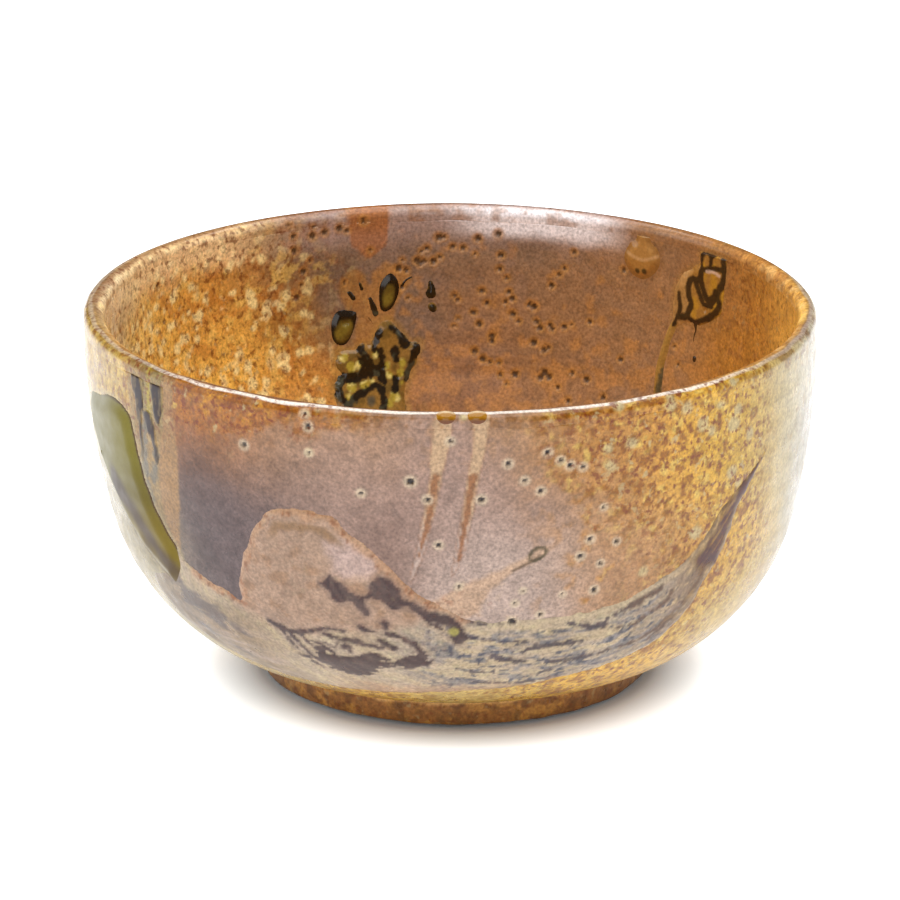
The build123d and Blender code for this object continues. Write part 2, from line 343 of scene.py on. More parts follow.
# Glaze tones round the outer wall: (angle, height, tone)
OUTER_TONES = [
    (-48, 60, RUST), (-38, 60, RUST), (-28, 61, TAN), (-14, 61, TAN), (0, 61, MAUVE),
    (11, 61, TAN), (19, 61, ORANGE_TAN), (27, 60, ORANGE_TAN), (34, 60, AMBER), (42, 60, GOLD),
    (52, 58, FLAX), (62, 56, CREAM), (76, 54, PALE), (90, 48, CREAM), (-42, 54, PLUM),
    (-30, 54, PLUM_BROWN), (-15, 53, MAUVE), (0, 52, MAUVE), (12, 50, MAUVE), (22, 50, TAN),
    (32, 50, AMBER), (42, 50, GOLD), (52, 48, FLAX), (66, 42, CREAM), (80, 40, PALE),
    (-44, 42, PLUM), (-34, 42, PLUM), (-20, 50, MAUVE), (-8, 44, PLUM_BROWN), (4, 40, LILAC),
    (14, 36, LILAC), (24, 38, TAN), (34, 38, TAN), (42, 37, AMBER), (50, 34, GOLD),
    (-46, 32, PLUM), (-38, 30, PLUM), (8, 30, LILAC), (30, 30, TAN), (60, 26, STRAW),
    (-40, 10, STRAW), (-20, 9, GOLD), (0, 9, STRAW), (20, 10, GOLD), (40, 14, GOLD),
    (52, 20, STRAW), (-60, 20, CREAM), (-75, 24, CREAM), (-56, 36, OLIVE_BEIGE), (-64, 60, BEIGE),
    (-76, 58, BEIGE), (-84, 44, CREAM), (-90, 56, BEIGE), (105, 56, STRAW), (104, 34, STRAW),
    (118, 52, GOLD), (120, 28, GOLD), (132, 58, AMBER), (135, 42, TAN), (140, 20, GOLD),
    (150, 54, PLUM_BROWN), (155, 34, MAUVE), (168, 58, RUST), (172, 46, PLUM_BROWN),
    (175, 24, LILAC), (178, 10, STRAW), (-172, 54, PLUM_BROWN), (-165, 36, PLUM), (-160, 16, TAN),
    (-155, 60, RUST), (-150, 46, PLUM_BROWN), (-140, 28, MAUVE), (-138, 58, TAN), (-128, 44, TAN),
    (-125, 16, STRAW), (-118, 58, AMBER), (-112, 36, GOLD), (-102, 54, STRAW), (-100, 22, STRAW),
]
INNER_TONES = [
    (-98, 60, PALE), (-108, 58, STRAW), (-104, 46, STRAW), (-116, 52, GOLD), (-122, 60, OCHRE),
    (-118, 44, GOLD), (-128, 50, OCHRE), (-138, 56, OCHRE), (-134, 40, GOLD), (-148, 58, UMBER),
    (-148, 48, HONEY), (-148, 36, OCHRE), (-158, 60, UMBER), (-160, 46, UMBER), (-156, 32, OCHRE),
    (-170, 58, UMBER), (-172, 44, UMBER), (-168, 30, CHESTNUT), (180, 60, UMBER),
    (176, 48, SIENNA), (178, 34, CHESTNUT), (166, 58, UMBER), (164, 46, SIENNA),
    (164, 34, SIENNA), (152, 58, SIENNA), (152, 44, SIENNA), (150, 32, SIENNA), (140, 58, SIENNA),
    (138, 44, SIENNA), (128, 58, CHESTNUT), (124, 44, HONEY), (116, 58, HONEY), (112, 48, HONEY),
    (104, 60, OCHRE), (98, 54, GOLD), (90, 30, OCHRE), (60, 50, OCHRE), (60, 24, SIENNA),
    (30, 54, SIENNA), (30, 20, SIENNA), (0, 56, UMBER), (0, 24, SIENNA), (-30, 50, UMBER),
    (-30, 20, OCHRE), (-60, 54, OCHRE), (-60, 22, HONEY), (-88, 34, GOLD), (-88, 52, STRAW),
    (180, 18, SIENNA), (140, 18, HONEY), (-140, 18, OCHRE), (0, 9.6, HONEY), (90, 9.6, SIENNA),
    (180, 9.6, HONEY), (-90, 9.6, OCHRE),
]


def washed(wall, tones, spread):
    """The glaze's slow change of colour: each point takes the tones near it."""
    angles = np.array([t[0] for t in tones], float)
    heights = np.array([t[1] for t in tones], float)
    colours = np.array([t[2] for t in tones])
    a = np.radians(angles)
    r = wall.coat.at(wall.coat.s_at_height(heights))[0]
    centres = np.stack([r * np.sin(a) - LEAN * heights, -r * np.cos(a), heights], axis=-1)
    drift = np.stack([wall.noise(9, 5 + n, 3) for n in range(3)], axis=-1) * spread
    hidden = step(np.abs(wrapped(wall.angle - wall.shown)), 80, 120)
    drift = drift * (0.35 + 0.7 * hidden)[..., None]
    total, weight = np.zeros(wall.p.shape), np.zeros(wall.p.shape[:-1])
    for centre, colour in zip(centres, colours):
        d2 = ((wall.p + drift - centre) ** 2).sum(axis=-1)
        w = np.exp(-d2 / (2 * spread ** 2)) + 1e-9 / (1 + d2)
        total += w[..., None] * colour
        weight += w
    return total / weight[..., None]


def over(colour, mask, top):
    """Lays a tone over a colour where mask is 1. Either may be a look, as (r, g, b)."""
    colour, top = (tone(*c) if isinstance(c, tuple) else c for c in (colour, top))
    return colour + np.clip(mask, 0, 1)[..., None] * (top - colour)


def darker(colour, share):
    """A colour darkened by a share of itself, or lightened where that is negative."""
    return colour * (1 - share)[..., None]


def painted(colour, fleck=0.0, polish=0.16):
    """What a mesh carries: tone, share of flecks and roughness at every point."""
    shape = colour.shape[:-1]
    return {"tone": colour, "fleck": np.broadcast_to(fleck, shape),
            "polish": np.broadcast_to(polish, shape)}


# ---- places of the glaze's features, as (angle, height) on the wall -------------------------
# A stroke is (points, half-width at its start, half-width at its end). A spot is (angle, height,
# radius).
HILL_FOOT = [(-46, 30.7), (-42, 29.2), (-39, 28.7), (-36.9, 27.8)]
HILL_TOP = [
    (-36.5, 31.5), (-35, 35.5), (-33, 40), (-30.5, 44), (-28.5, 46), (-25, 46.8), (-21, 46.7),
    (-18, 46.2),
]
HILL_FACE = [(-16.2, 44), (-12.5, 41), (-8.7, 37.2), (-5.2, 33.4)]
WAVE_TOP = [
    (-2.5, 31.8), (1.5, 29.2), (5, 28.3), (12, 28.2), (20, 28.4), (28, 29.7), (34, 31.9),
    (39.4, 34.5), (43, 38), (46, 42), (50, 45.2), (55.4, 48.2),
]
SLIP_OUTLINE = [
    (-50, 34), (-48.7, 32), *HILL_FOOT, *HILL_TOP, *HILL_FACE, *WAVE_TOP, (52.2, 44.1),
    (50, 40.5), (48.7, 36), (47, 32.3), (45, 29.5), (43.5, 26), (40.5, 21.9), (36, 18.5),
    (28.5, 16), (21, 14.6), (10, 12.8), (0, 12), (-12, 10.8), (-28, 10.5), (-44, 12), (-58, 17),
    (-62, 24), (-57, 27), (-53, 28),
]
BAND_TOP = [(-8, 37), *WAVE_TOP]
HILL_OUTLINE = [
    (-38, 27), *HILL_TOP, (-16, 44), (-12.5, 41), (-8, 37), (-2, 31.5), (-6, 28), (-16, 25.5),
    (-28, 24.5),
]
HILL_SEAM = [*HILL_FOOT, *HILL_TOP, *HILL_FACE, *WAVE_TOP[:2]]
HILL_LOBE = [
    (-19.5, 41.2), (-16.6, 42), (-13.8, 40.8), (-11.5, 38.5), (-12.5, 36.6), (-16, 35.8),
    (-17.7, 36.8),
]
UPPER_STROKE = [
    (-21.3, 33.9), (-20.2, 35), (-19.1, 36.1), (-18.6, 34.9), (-17.3, 34.5), (-16.3, 33.1),
    (-15, 32.6), (-13.9, 32.5), (-13, 33.8), (-12.6, 35.4), (-11.7, 36.4), (-10.4, 36.4),
    (-9.3, 35.5), (-8.6, 34.6), (-7.8, 32.9), (-6.2, 31.9), (-4.5, 31), (-1.9, 29.8), (0.9, 28.7),
    (1.6, 26.7), (2.4, 25), (1.5, 24), (0.2, 24.1), (-0.7, 25.5), (-0.8, 27.1), (-2.3, 28),
    (-4, 28.2), (-5.5, 29.7), (-7.2, 31.2), (-8.9, 30.4), (-10.1, 30.9), (-11.3, 32),
    (-12.7, 32.3), (-13.9, 31.6), (-13.2, 29.6), (-14.1, 29), (-16.1, 31.2), (-18.1, 30.8),
    (-19.2, 31.8), (-19.9, 33),
]
LOWER_MASS = [
    (-24.4, 20.8), (-22.3, 21.2), (-21, 19.9), (-18.4, 19.9), (-16.6, 20), (-14, 21.3),
    (-12, 20.3), (-10.2, 20), (-7.8, 21), (-5.5, 22.3), (-3.8, 20.7), (-4.6, 19), (-7.9, 18.1),
    (-10.6, 18.1), (-13.3, 17.3), (-14.8, 15.8), (-18.4, 15.3), (-21, 15.8), (-23.2, 16.2),
    (-24.7, 18),
]
LOWER_STROKES = [
    ([(-32, 24.9), (-30.1, 24), (-28.2, 23.4), (-26.2, 23.5)], 0.35, 0.55),
    ([(-30.1, 24), (-29.2, 22), (-27.8, 19.4)], 0.5, 0.2),
    ([(-28.2, 23.2), (-26.8, 20.5), (-25.2, 18.4)], 0.55, 0.35),
    ([(-26.4, 23.2), (-24.5, 20.6), (-22.8, 19.3)], 0.45, 0.5),
    ([(-26.2, 23.6), (-23.2, 24.6), (-20.8, 25.4), (-18.4, 25.3)], 0.5, 0.3),
    ([(-19, 21.8), (-18, 22.2), (-17.6, 21)], 0.6, 0.5),
    ([(-15.6, 26.5), (-14.5, 26), (-13.2, 25.5)], 0.35, 0.5),
    ([(-11.1, 27.7), (-10.9, 26.9)], 0.55, 0.5),
    ([(-10.8, 25.6), (-9.1, 25.1), (-7.3, 24.4), (-6.1, 23.3), (-5.3, 21.8)], 0.45, 0.5),
    ([(-12.5, 24), (-11.2, 23.5), (-10, 22.7)], 0.3, 0.4),
    ([(-28, 18.6), (-26.2, 18.2)], 0.35, 0.3),
    ([(-26.3, 17.5), (-24.2, 15.9)], 0.25, 0.15),
    ([(-4, 28.2), (-2.7, 27.5), (-1.6, 26.7)], 0.3, 0.3),
    ([(-22, 22), (-20.5, 21.4), (-19.6, 22.8)], 0.25, 0.2),
    ([(-22, 24.2), (-19, 23.4), (-16, 23.2)], 0.35, 0.5),
    ([(-16, 23.2), (-13, 22.6), (-11, 22.9)], 0.5, 0.3),
    ([(-25.4, 22.4), (-22.6, 21.4), (-21, 20)], 0.4, 0.5),
]
CELL_SPOT = [(0.1, 26.5, 0.75)]
LEFT_PATCH = [
    (-51.5, 28), (-49.5, 26.3), (-47.5, 25.6), (-44.9, 25), (-42.9, 24), (-42.2, 22.4),
    (-43.3, 20), (-44.8, 20.3), (-46.1, 21.7), (-48.6, 22), (-51.3, 22.2), (-53, 23),
]
LEFT_FEATHERS = [
    ([(-53.5, 27), (-49, 25), (-44, 22.5), (-39, 20.5)], 1.0, 0.5),
    ([(-53.6, 20.4), (-50.1, 18.4), (-46.9, 16.8), (-42, 15)], 0.3, 0.5),
    ([(-50, 23.5), (-45, 20.5), (-40, 18.5)], 0.4, 0.3),
]
WAVE_STROKES = [
    ([(25.8, 26.8), (29.6, 28.4), (33.1, 29.9), (35.2, 30.5)], 0.35, 0.75),
    ([(31.7, 24.8), (34.8, 26.7), (37.7, 28.3)], 0.4, 0.25),
    ([(35, 20.3), (38.9, 23.9), (41.5, 27.2), (43.3, 30.5)], 0.35, 0.3),
    ([(26.9, 19.9), (34.5, 21.3), (39.1, 25.1)], 0.25, 0.4),
    ([(2.7, 25.3), (6.7, 24.5), (11.7, 23.8)], 0.3, 0.15),
    ([(11.9, 21.9), (15.3, 22.8), (18.8, 22.8), (21.8, 22.8)], 0.45, 0.3),
    ([(3.7, 15), (11.3, 14.4), (18, 15)], 0.3, 0.3),
    ([(1.7, 28.7), (4.9, 27.8), (9, 28)], 0.25, 0.15),
    ([(16.8, 18.9), (21.4, 19.1), (27.1, 19.6)], 0.5, 0.25),
    ([(6.8, 21.1), (9.5, 20.1), (12.2, 19.6)], 0.5, 0.35),
    ([(15.5, 16.6), (17.8, 17.1)], 0.35, 0.2),
    ([(19, 27), (22.8, 25.5), (25.5, 25.6)], 0.4, 0.5),
    ([(0.5, 18.5), (3.5, 17.6), (7, 17.4)], 0.4, 0.3),
    ([(28, 24.5), (33, 25.4), (38, 29.5)], 0.2, 0.25),
    ([(39.5, 25), (42.3, 29), (44.2, 32.5)], 0.25, 0.3),
]
STRIP_OUTLINE = [
    (-46.8, 66), (-47, 59.5), (-46.5, 56.7), (-46.3, 53.3), (-46.4, 49), (-47, 43.4),
    (-47.8, 39.5), (-49.2, 33.5), (-50.6, 36), (-51.6, 41), (-51.3, 47), (-50.2, 52), (-49.2, 58),
    (-49, 66),
]
SIDE_OUTLINE = [
    (-47.5, 68), (-47.5, 57), (-47, 50), (-47.5, 42), (-49, 35), (-51, 30), (-57, 28), (-59, 45),
    (-58.5, 56), (-58, 68),
]
SIDE_MOTTLES = [
    ([(-54, 56), (-54.6, 51), (-55.3, 46)], 0.6, 0.9),
    ([(-51.2, 51), (-52, 48), (-53, 45.8)], 0.5, 0.8),
    ([(-55.2, 44), (-54.2, 41)], 0.7, 0.4),
]
TRAILS = [
    [(-2, 66), (0.4, 66), (-0.4, 59), (-1.4, 54), (-2.4, 49), (-3.3, 45.2), (-4.3, 41),
     (-6.5, 35.6), (-5.4, 41), (-4.6, 45.2), (-3.8, 49.6), (-3.1, 54), (-2.8, 59)],
    [(3.6, 66), (6, 66), (5.1, 59), (4.1, 54), (3.3, 48.8), (2.6, 45.2), (1.7, 41),
     (0, 37), (0.6, 41.3), (1.2, 45.2), (1.7, 48.8), (2.4, 54), (3.3, 59)],
]
TRAIL_CORES = [
    ([(-2.2, 54.5), (-2.9, 50), (-3.6, 46), (-4.5, 42.5), (-5.1, 40)], 0.62, 0.14),
    ([(3.3, 54.5), (2.6, 50), (2, 46), (1.4, 42), (1, 39.6)], 0.62, 0.14),
]
WEDGE = [
    (-3.5, 31.5), (-0.7, 33.6), (1.2, 35.1), (3.3, 36.1), (6.4, 37.5), (8.7, 38.5), (11, 39.9),
    (13, 41.5), (14.6, 41.3), (14.4, 40), (12.6, 39), (10.6, 37.8), (8.7, 36.8), (6.7, 34.9),
    (5.5, 33.3), (4.6, 31.3), (3.3, 29.5), (0.5, 29),
]
WEDGE_RING = [(11.8, 40), (12.7, 41.3), (14.3, 41.3), (14.2, 40.1), (12.7, 39.2)]
WEDGE_LINE = [([(13.4, 39.7), (11.8, 38.9), (9.2, 37.5)], 0.35, 0.1)]
POOL_OUTLINE = [
    (-77, 53), (-70, 55), (-66, 56.3), (-62, 56.4), (-59.3, 55.5), (-58.2, 54.4), (-57.5, 52.3),
    (-57, 49.8), (-56.3, 47.4), (-55.7, 44.7), (-54.8, 42.5), (-53.8, 40), (-52.6, 38),
    (-51.3, 36), (-50, 34.3), (-49.1, 32.2), (-49.2, 30.3), (-50.6, 28), (-52.9, 25.8),
    (-55, 26.9), (-58, 28.5), (-62, 31), (-66, 34.5), (-70, 38.5), (-74, 43), (-77, 48),
]
POOL_CORE = [([(-66, 41.5), (-62, 38), (-57.5, 34.6), (-53.5, 31), (-51, 28)], 1.2, 1.6)]
POOL_SIDE = [([(-64, 33), (-59.5, 29.5), (-56, 26.3), (-52, 23)], 0.25, 0.6)]
IRON_STREAKS = [
    [(-57.6, 63), (-54.4, 63), (-54, 58.5), (-54.6, 56), (-54.6, 53), (-54.8, 50), (-55.6, 46.8),
     (-56, 51), (-56.6, 56)],
    [(-54.6, 57.2), (-52.2, 57.2), (-51.5, 54.4), (-51, 51.8), (-51.2, 48.7), (-52.1, 48),
     (-52.7, 51.5), (-53.8, 54.2)],
    [(-52.4, 63), (-48.8, 63), (-49.2, 58), (-50.4, 55.5), (-51.8, 57.2)],
]
RIGHT_TIP = [
    (41, 34.6), (43.8, 36.2), (45.6, 38.8), (47.8, 42.4), (50.4, 45), (57, 49.6), (52.4, 44.6),
    (50, 41.2), (48.2, 37.4), (47.2, 34), (46.6, 32.4), (44, 32.4),
]
OUTER_PITS = [
    (-32.5, 56.5, 0.5), (-21.5, 61.5, 0.5), (-22, 63.6, 0.4), (-21.5, 57, 0.3), (-13.5, 51, 0.35),
    (-6, 53.5, 0.6), (0, 60.5, 0.4), (-3.5, 50.5, 0.45), (4.5, 50.5, 0.5), (8.5, 56.5, 0.45),
    (11, 53.5, 0.4), (13.5, 51.5, 0.45), (14.5, 58, 0.45), (16.5, 56.5, 0.4), (18, 55.5, 0.45),
    (20, 55, 0.4), (23.5, 47.5, 0.3), (21.5, 42, 0.45), (26, 41, 0.35), (20, 39.2, 0.5),
    (23.5, 37.4, 0.35), (22.8, 32.6, 0.5), (17.5, 32.5, 0.25), (14, 29, 0.4), (9.5, 28, 0.7),
    (9.8, 31.5, 0.3), (11, 33.8, 0.25), (-2, 42.5, 0.4), (1, 35, 0.35), (-71, 44.5, 0.3),
]
CREAM_SPOTS = [
    (28, 58, 0.9), (24.5, 54.5, 0.9), (24, 57.5, 0.7), (35, 63, 0.9), (38, 62, 0.9),
    (41, 58.5, 1.1), (43, 57, 0.8), (48, 57, 1.3), (49, 59, 0.9), (48, 48.5, 1.0),
    (41, 39.5, 1.1), (31.5, 34.5, 0.8), (50, 46, 0.6), (45, 61, 0.7), (52, 54, 0.9),
    (-21.5, 57, 0.5), (-71, 44.5, 0.6),
]
LIP_SPOTS = [(2, 64.6, 0.5), (26, 64.6, 0.9), (35, 64.4, 0.6), (-20, 64.5, 0.3), (48, 64.2, 0.7)]
ORANGE_PATCH = [
    (-162, 68), (-168.7, 68), (-168.5, 59.2), (-167.2, 57.2), (-165.3, 56), (-163.4, 57.4),
    (-161.9, 59.6),
]
BEADS = [
    [(201, 46.6), (199.1, 46.6), (197.5, 46), (197.7, 44.3), (198.6, 42.1), (199.7, 40.6),
     (201.1, 40.4), (202.2, 41.3), (202.5, 43.3), (202.1, 45.2)],
    [(190.8, 52.8), (189.7, 51.5), (189.5, 49.6), (190.1, 47.8), (191, 46.3), (192.3, 45.8),
     (193.1, 46.5), (193.2, 48.9), (192.9, 50.8), (191.9, 52.3)],
]
BEAD_HEARTS = [
    [(200.6, 44.7), (198.9, 44.8), (198.5, 43.3), (199.4, 41.4), (200.9, 41), (201.8, 42),
     (201.7, 43.6)],
    [(191.2, 50.9), (190.4, 49.9), (190.6, 47.9), (191.9, 46.5), (192.6, 47.2), (192.4, 49.5)],
]
LEFT_HALO = [
    (197.5, 54), (195, 51), (193.5, 53.2), (191.8, 54.5), (189.8, 54.5), (188, 53.2),
    (187.2, 51.9), (188.7, 49.6), (189.5, 47.3), (190.3, 45), (191, 43.5), (193.5, 42),
    (197.1, 39.5), (198.3, 42.5), (197, 45.5), (200, 47.6), (200, 51.2),
]
LEFT_CLUSTER = [
    (193.6, 43.4), (192.4, 44.2), (191.3, 43.9), (189.2, 42), (188, 40.2), (186, 39.7),
    (186.7, 37.2), (188, 34.8), (188.9, 32.6), (189.6, 30.5), (190.3, 27.5), (201, 27.5),
    (202.9, 31), (203, 33.6), (201.3, 35.3), (202.2, 37.2), (201.3, 39.3), (198.4, 39.4),
    (197.1, 40.3), (195.2, 40.3),
]
LEFT_INK = [
    ([(188.9, 50.5), (188.2, 51.4), (187.1, 52)], 0.3, 0.15),
    ([(194.8, 48.2), (194.4, 47), (194, 45.6)], 0.45, 0.6),
    ([(195.3, 44.9), (194.5, 43.8)], 0.25, 0.2),
    ([(198.6, 49.7), (197.9, 48.6)], 0.45, 0.45),
    ([(196.6, 51.2), (196.3, 50.3)], 0.3, 0.4),
    ([(183.9, 50.9), (183.7, 49.6), (183.8, 48.9)], 0.45, 0.95),
    ([(183.7, 46.4), (183.6, 46.1)], 0.75, 0.75),
    ([(193.3, 42.2), (194.1, 40.8), (194.9, 39.2)], 0.3, 0.4),
    ([(191.4, 42.9), (190.3, 42.2), (189.3, 40.9), (188.8, 40)], 0.3, 0.75),
    ([(186.6, 39.2), (187.6, 37.3), (188.4, 35.3), (189.1, 33.6)], 0.65, 0.3),
    ([(197.2, 39.2), (196.3, 37.7), (195.9, 36.4), (195.6, 35)], 0.7, 0.8),
    ([(201, 34.7), (198.9, 34.4), (197.2, 34.8), (195.6, 35.6), (194.1, 35), (193.5, 33.7)],
     0.6, 0.8),
    ([(197.6, 31.7), (195.9, 32.5), (194.7, 32.9), (193.9, 32), (193.7, 30.6), (193.9, 28)],
     0.3, 0.6),
    ([(201.6, 34.6), (202.3, 32.3), (201.8, 30.9), (200.7, 29.8), (199.5, 31), (197.8, 31.8)],
     0.6, 0.4),
    ([(198, 38.2), (197, 36.7), (197.3, 35.2)], 0.25, 0.4),
    ([(190.9, 38.7), (190.8, 36.9)], 0.55, 0.4),
    ([(191, 33.8), (191.3, 31.9)], 0.5, 0.45),
    ([(193.6, 38.9), (193.5, 36.5), (194.2, 35.5)], 0.35, 0.6),
]
LEFT_CELLS = [
    (200.8, 38.1, 0.8), (199.5, 36.5, 0.9), (197.9, 36.7, 0.75), (194.6, 38.2, 0.65),
    (197, 33, 0.9), (195.6, 33.6, 0.6), (199.8, 32.8, 0.95), (200.6, 31.3, 0.7),
    (192.3, 36.2, 0.8), (192.2, 34.4, 0.8), (189.6, 36.4, 0.8), (190, 34.7, 0.8),
    (189.8, 33, 0.5), (191.5, 30.6, 1.0), (192.6, 29.6, 0.8),
]
LEFT_SLATE = [(196.2, 30.2, 0.9), (188.7, 28.8, 0.7)]
RIGHT_BODY = [
    (124.2, 68), (125, 58.6), (125.3, 54.2), (126.7, 51.6), (130.7, 49.2), (133.9, 49),
    (136.6, 47.6), (137.6, 49), (137.4, 54.2), (135.8, 57.3), (133, 59.5), (131.6, 60.7),
    (131.5, 62.9), (128.5, 63.9), (126.8, 65),
]
RIGHT_INK = [
    ([(124.9, 66), (125, 64.5), (125.2, 62.2), (125, 60.4), (125.2, 58.5), (126.1, 56.8),
      (126.5, 55.2), (126.1, 53.9), (127.1, 52.3), (128.8, 51), (130.8, 50), (132.2, 49.3)],
     0.45, 0.35),
    ([(130.8, 62.1), (129.6, 62.9), (128.4, 62.5), (128.4, 61.2), (129, 60), (130.5, 59.7),
      (131, 60.8), (130.8, 62.1)], 0.28, 0.28),
    ([(128.5, 62.4), (126.9, 63.5), (125.6, 65)], 0.3, 0.35),
    ([(128.7, 60.1), (127.1, 60.5), (125.6, 60.5)], 0.28, 0.28),
    ([(130.8, 59.6), (131, 57.8), (130.4, 56.1), (129.6, 54.8), (128.5, 53.8)], 0.35, 0.5),
    ([(127, 56.1), (127.3, 55), (128.4, 54)], 0.5, 0.8),
    ([(131, 58), (132, 57.2), (133, 57.3), (133.9, 56), (133.8, 54), (133, 52.7),
      (133.6, 51.3), (134, 50.2)], 0.35, 0.4),
    ([(132.4, 56.9), (131.4, 55.3), (130.6, 54), (130, 53.2), (128, 53.3)], 0.35, 0.35),
    ([(134.2, 50.2), (132.2, 49.4), (130.8, 49.9)], 0.4, 0.3),
    ([(132.2, 49.2), (131.9, 48), (132.2, 47), (132.3, 45.8)], 0.5, 0.12),
    ([(136.1, 53.9), (135.9, 52.7), (135.8, 51.2), (136.1, 49.7), (137, 48.1)], 0.22, 0.25),
    ([(136, 49.6), (134.2, 50)], 0.45, 0.4),
    ([(131.5, 43), (131.5, 42.7)], 0.5, 0.4),
]
RIGHT_STREAK = [
    ([(136.8, 48.6), (138, 45.8), (138.6, 43.3), (139.1, 40.7), (139.1, 37.8), (138.8, 33)],
     0.7, 1.0),
]
RIGHT_STREAK_DARK = [([(137.8, 40), (138.5, 38), (138.6, 35)], 0.3, 0.5)]
RIGHT_GLINT = [([(129.5, 59.4), (127.7, 59.7), (126.1, 59.4)], 0.15, 0.15)]
DROP_OUTLINE = [
    (148.2, 59), (147, 61.3), (145.7, 62.6), (146.2, 68), (142, 68), (142.9, 62.6), (141.3, 60.8),
    (140.8, 58.5), (142, 56.2), (144.2, 54.8), (146.6, 55.3), (148.1, 57.2),
]
DROP_SPOTS = [(145.3, 56.3, 0.4), (143.9, 56.4, 0.45)]
DROP_HIGHLIGHT = [([(147.5, 59.4), (144.4, 58.5), (141.3, 59.6)], 0.15, 0.15)]
RIM_DRIPS = [(-0.6, 1.35), (4.1, 1.35)]  # (angle, half-width)


def scattered(count, angles, heights, sizes, seed):
    """Seeded (angle, height, radius) spots within the given ranges."""
    rng = np.random.default_rng(seed)
    return list(zip(rng.uniform(*angles, count), rng.uniform(*heights, count),
                    rng.uniform(*sizes, count)))


def rows_of_pits(rows, seed):
    """Spots strung along short rows, each (angle, height) to (angle, height) and how many."""
    rng = np.random.default_rng(seed)
    found = []
    for a0, z0, a1, z1, count in rows:
        for t in np.linspace(0, 1, count):
            a = a0 + t * (a1 - a0) + rng.normal(0, 0.7)
            z = z0 + t * (z1 - z0) + rng.normal(0, 0.7)
            found.append((a, z, rng.uniform(0.3, 0.65)))
    return found


BACK_PITS = [(float(wrapped(a)), z, r)
             for a, z, r in scattered(40, (100, 260), (14, 61), (0.6, 0.9), 11)]
INNER_PITS = rows_of_pits([(196, 63, 207, 60, 6), (203, 62, 210, 63, 4), (172, 60, 188, 54, 7),
                           (181, 60, 186, 55, 5), (184, 54, 189, 52, 3), (174, 50, 160, 43, 7),
                           (172, 56, 168, 44, 6), (158, 58, 166, 46, 4), (176, 38, 160, 33, 7),
                           (158, 36, 150, 33, 3), (165, 47, 163, 36, 6), (205, 56, 208, 50, 4),
                           (178, 47, 172, 40, 5)], 4)
LEFT_SPOTS = scattered(210, (206, 276), (26, 62), (0.35, 0.95), 17)
INNER_PITS += scattered(26, (146, 200), (28, 60), (0.25, 0.5), 7)
INNER_PITS += [(float(a % 360), z, r)
               for a, z, r in scattered(60, (-140, 140), (12, 60), (0.25, 0.45), 9)]


# ---- the painted glazes --------------------------------------------------------------------
def golden(colour):
    """How much a tone is golden ash glaze, which breaks into flecks and pale spots."""
    return step((colour[..., 0] - colour[..., 2]) / (colour[..., 0] + colour[..., 2]), 0.44, 0.74)


def mottled(wall, colour, seed, strength=1.0):
    """Medium mottling: slow rusty clouds and finer light and dark ones."""
    clouds = wall.noise(3.2, seed, 3)
    fine = wall.noise(0.9, seed + 3, 2)
    return darker(colour, -strength * (0.12 * clouds + 0.16 * fine))


def ash_spots(wall, colour, gold, seed, amount=1.0):
    """Pale spots and brown flecks in the golden ash glaze."""
    pale = step(wall.noise(1.4, seed, 2), 0.3, 0.7) * gold * amount
    brown = step(wall.noise(1.0, seed + 1, 2), 0.1, 0.45) * gold * amount
    colour = over(colour, 0.65 * pale, (234, 200, 112))
    return over(colour, 0.7 * brown, RUST_BROWN)


def pitted(colour, distance, halo, core, width):
    """Pinholes: a dark core inside a pale ring."""
    colour = over(colour, 0.7 * step(distance, width, 0.15), halo)
    return over(colour, 0.95 * step(distance, 0.06, -0.14), core)


def paint_side(wall, colour):
    """The zone between the pool and the front panel: a plain strip, and ink over olive beige."""
    side = wall.inside(SIDE_OUTLINE, 0.5 * wall.noise(2, 61, 2))
    base = over(colour, 0.9 * step(side, 0.5, -0.5), mottled(wall, tone(166, 138, 96), 64))
    upper = step(wall.z, 53, 58) * step(side, 0, -1)
    base = over(base, 0.6 * upper * step(wall.turned, -56, -54), (150, 136, 96))
    thread = 0.7 * upper * step(wall.turned, -53.6, -52.9) * step(wall.turned, -52, -52.7)
    base = over(base, thread, (190, 166, 70))
    mottles = wall.brushed(SIDE_MOTTLES) + 0.8 * wall.noise(1.0, 62, 2)
    base = over(base, 0.75 * step(mottles, 0.5, -0.3), (126, 122, 112))
    strip = wall.inside(STRIP_OUTLINE, 0.2 * wall.noise(2, 63, 2))
    return over(base, step(strip, 0.4, -0.4), mottled(wall, tone(172, 136, 98), 65, 0.6))


def paint_trails(wall, colour):
    """Two tapering tracks under the rim drips: beige above, rust below, with pale edges."""
    core = wall.brushed(TRAIL_CORES) + 0.2 * wall.noise(0.8, 71, 2)
    for outline in TRAILS:
        d = wall.inside(outline, 0.12 * wall.noise(1.2, 70, 2))
        body = over((206, 172, 136), step(wall.z, 50, 42), LILAC)
        colour = over(colour, 0.5 * step(np.abs(d), 0.3, 0.05), (150, 108, 84))
        colour = over(colour, 0.9 * step(d, 0.15, -0.2), body)
    return over(colour, 0.9 * step(core, 0.2, -0.15), (156, 108, 78))


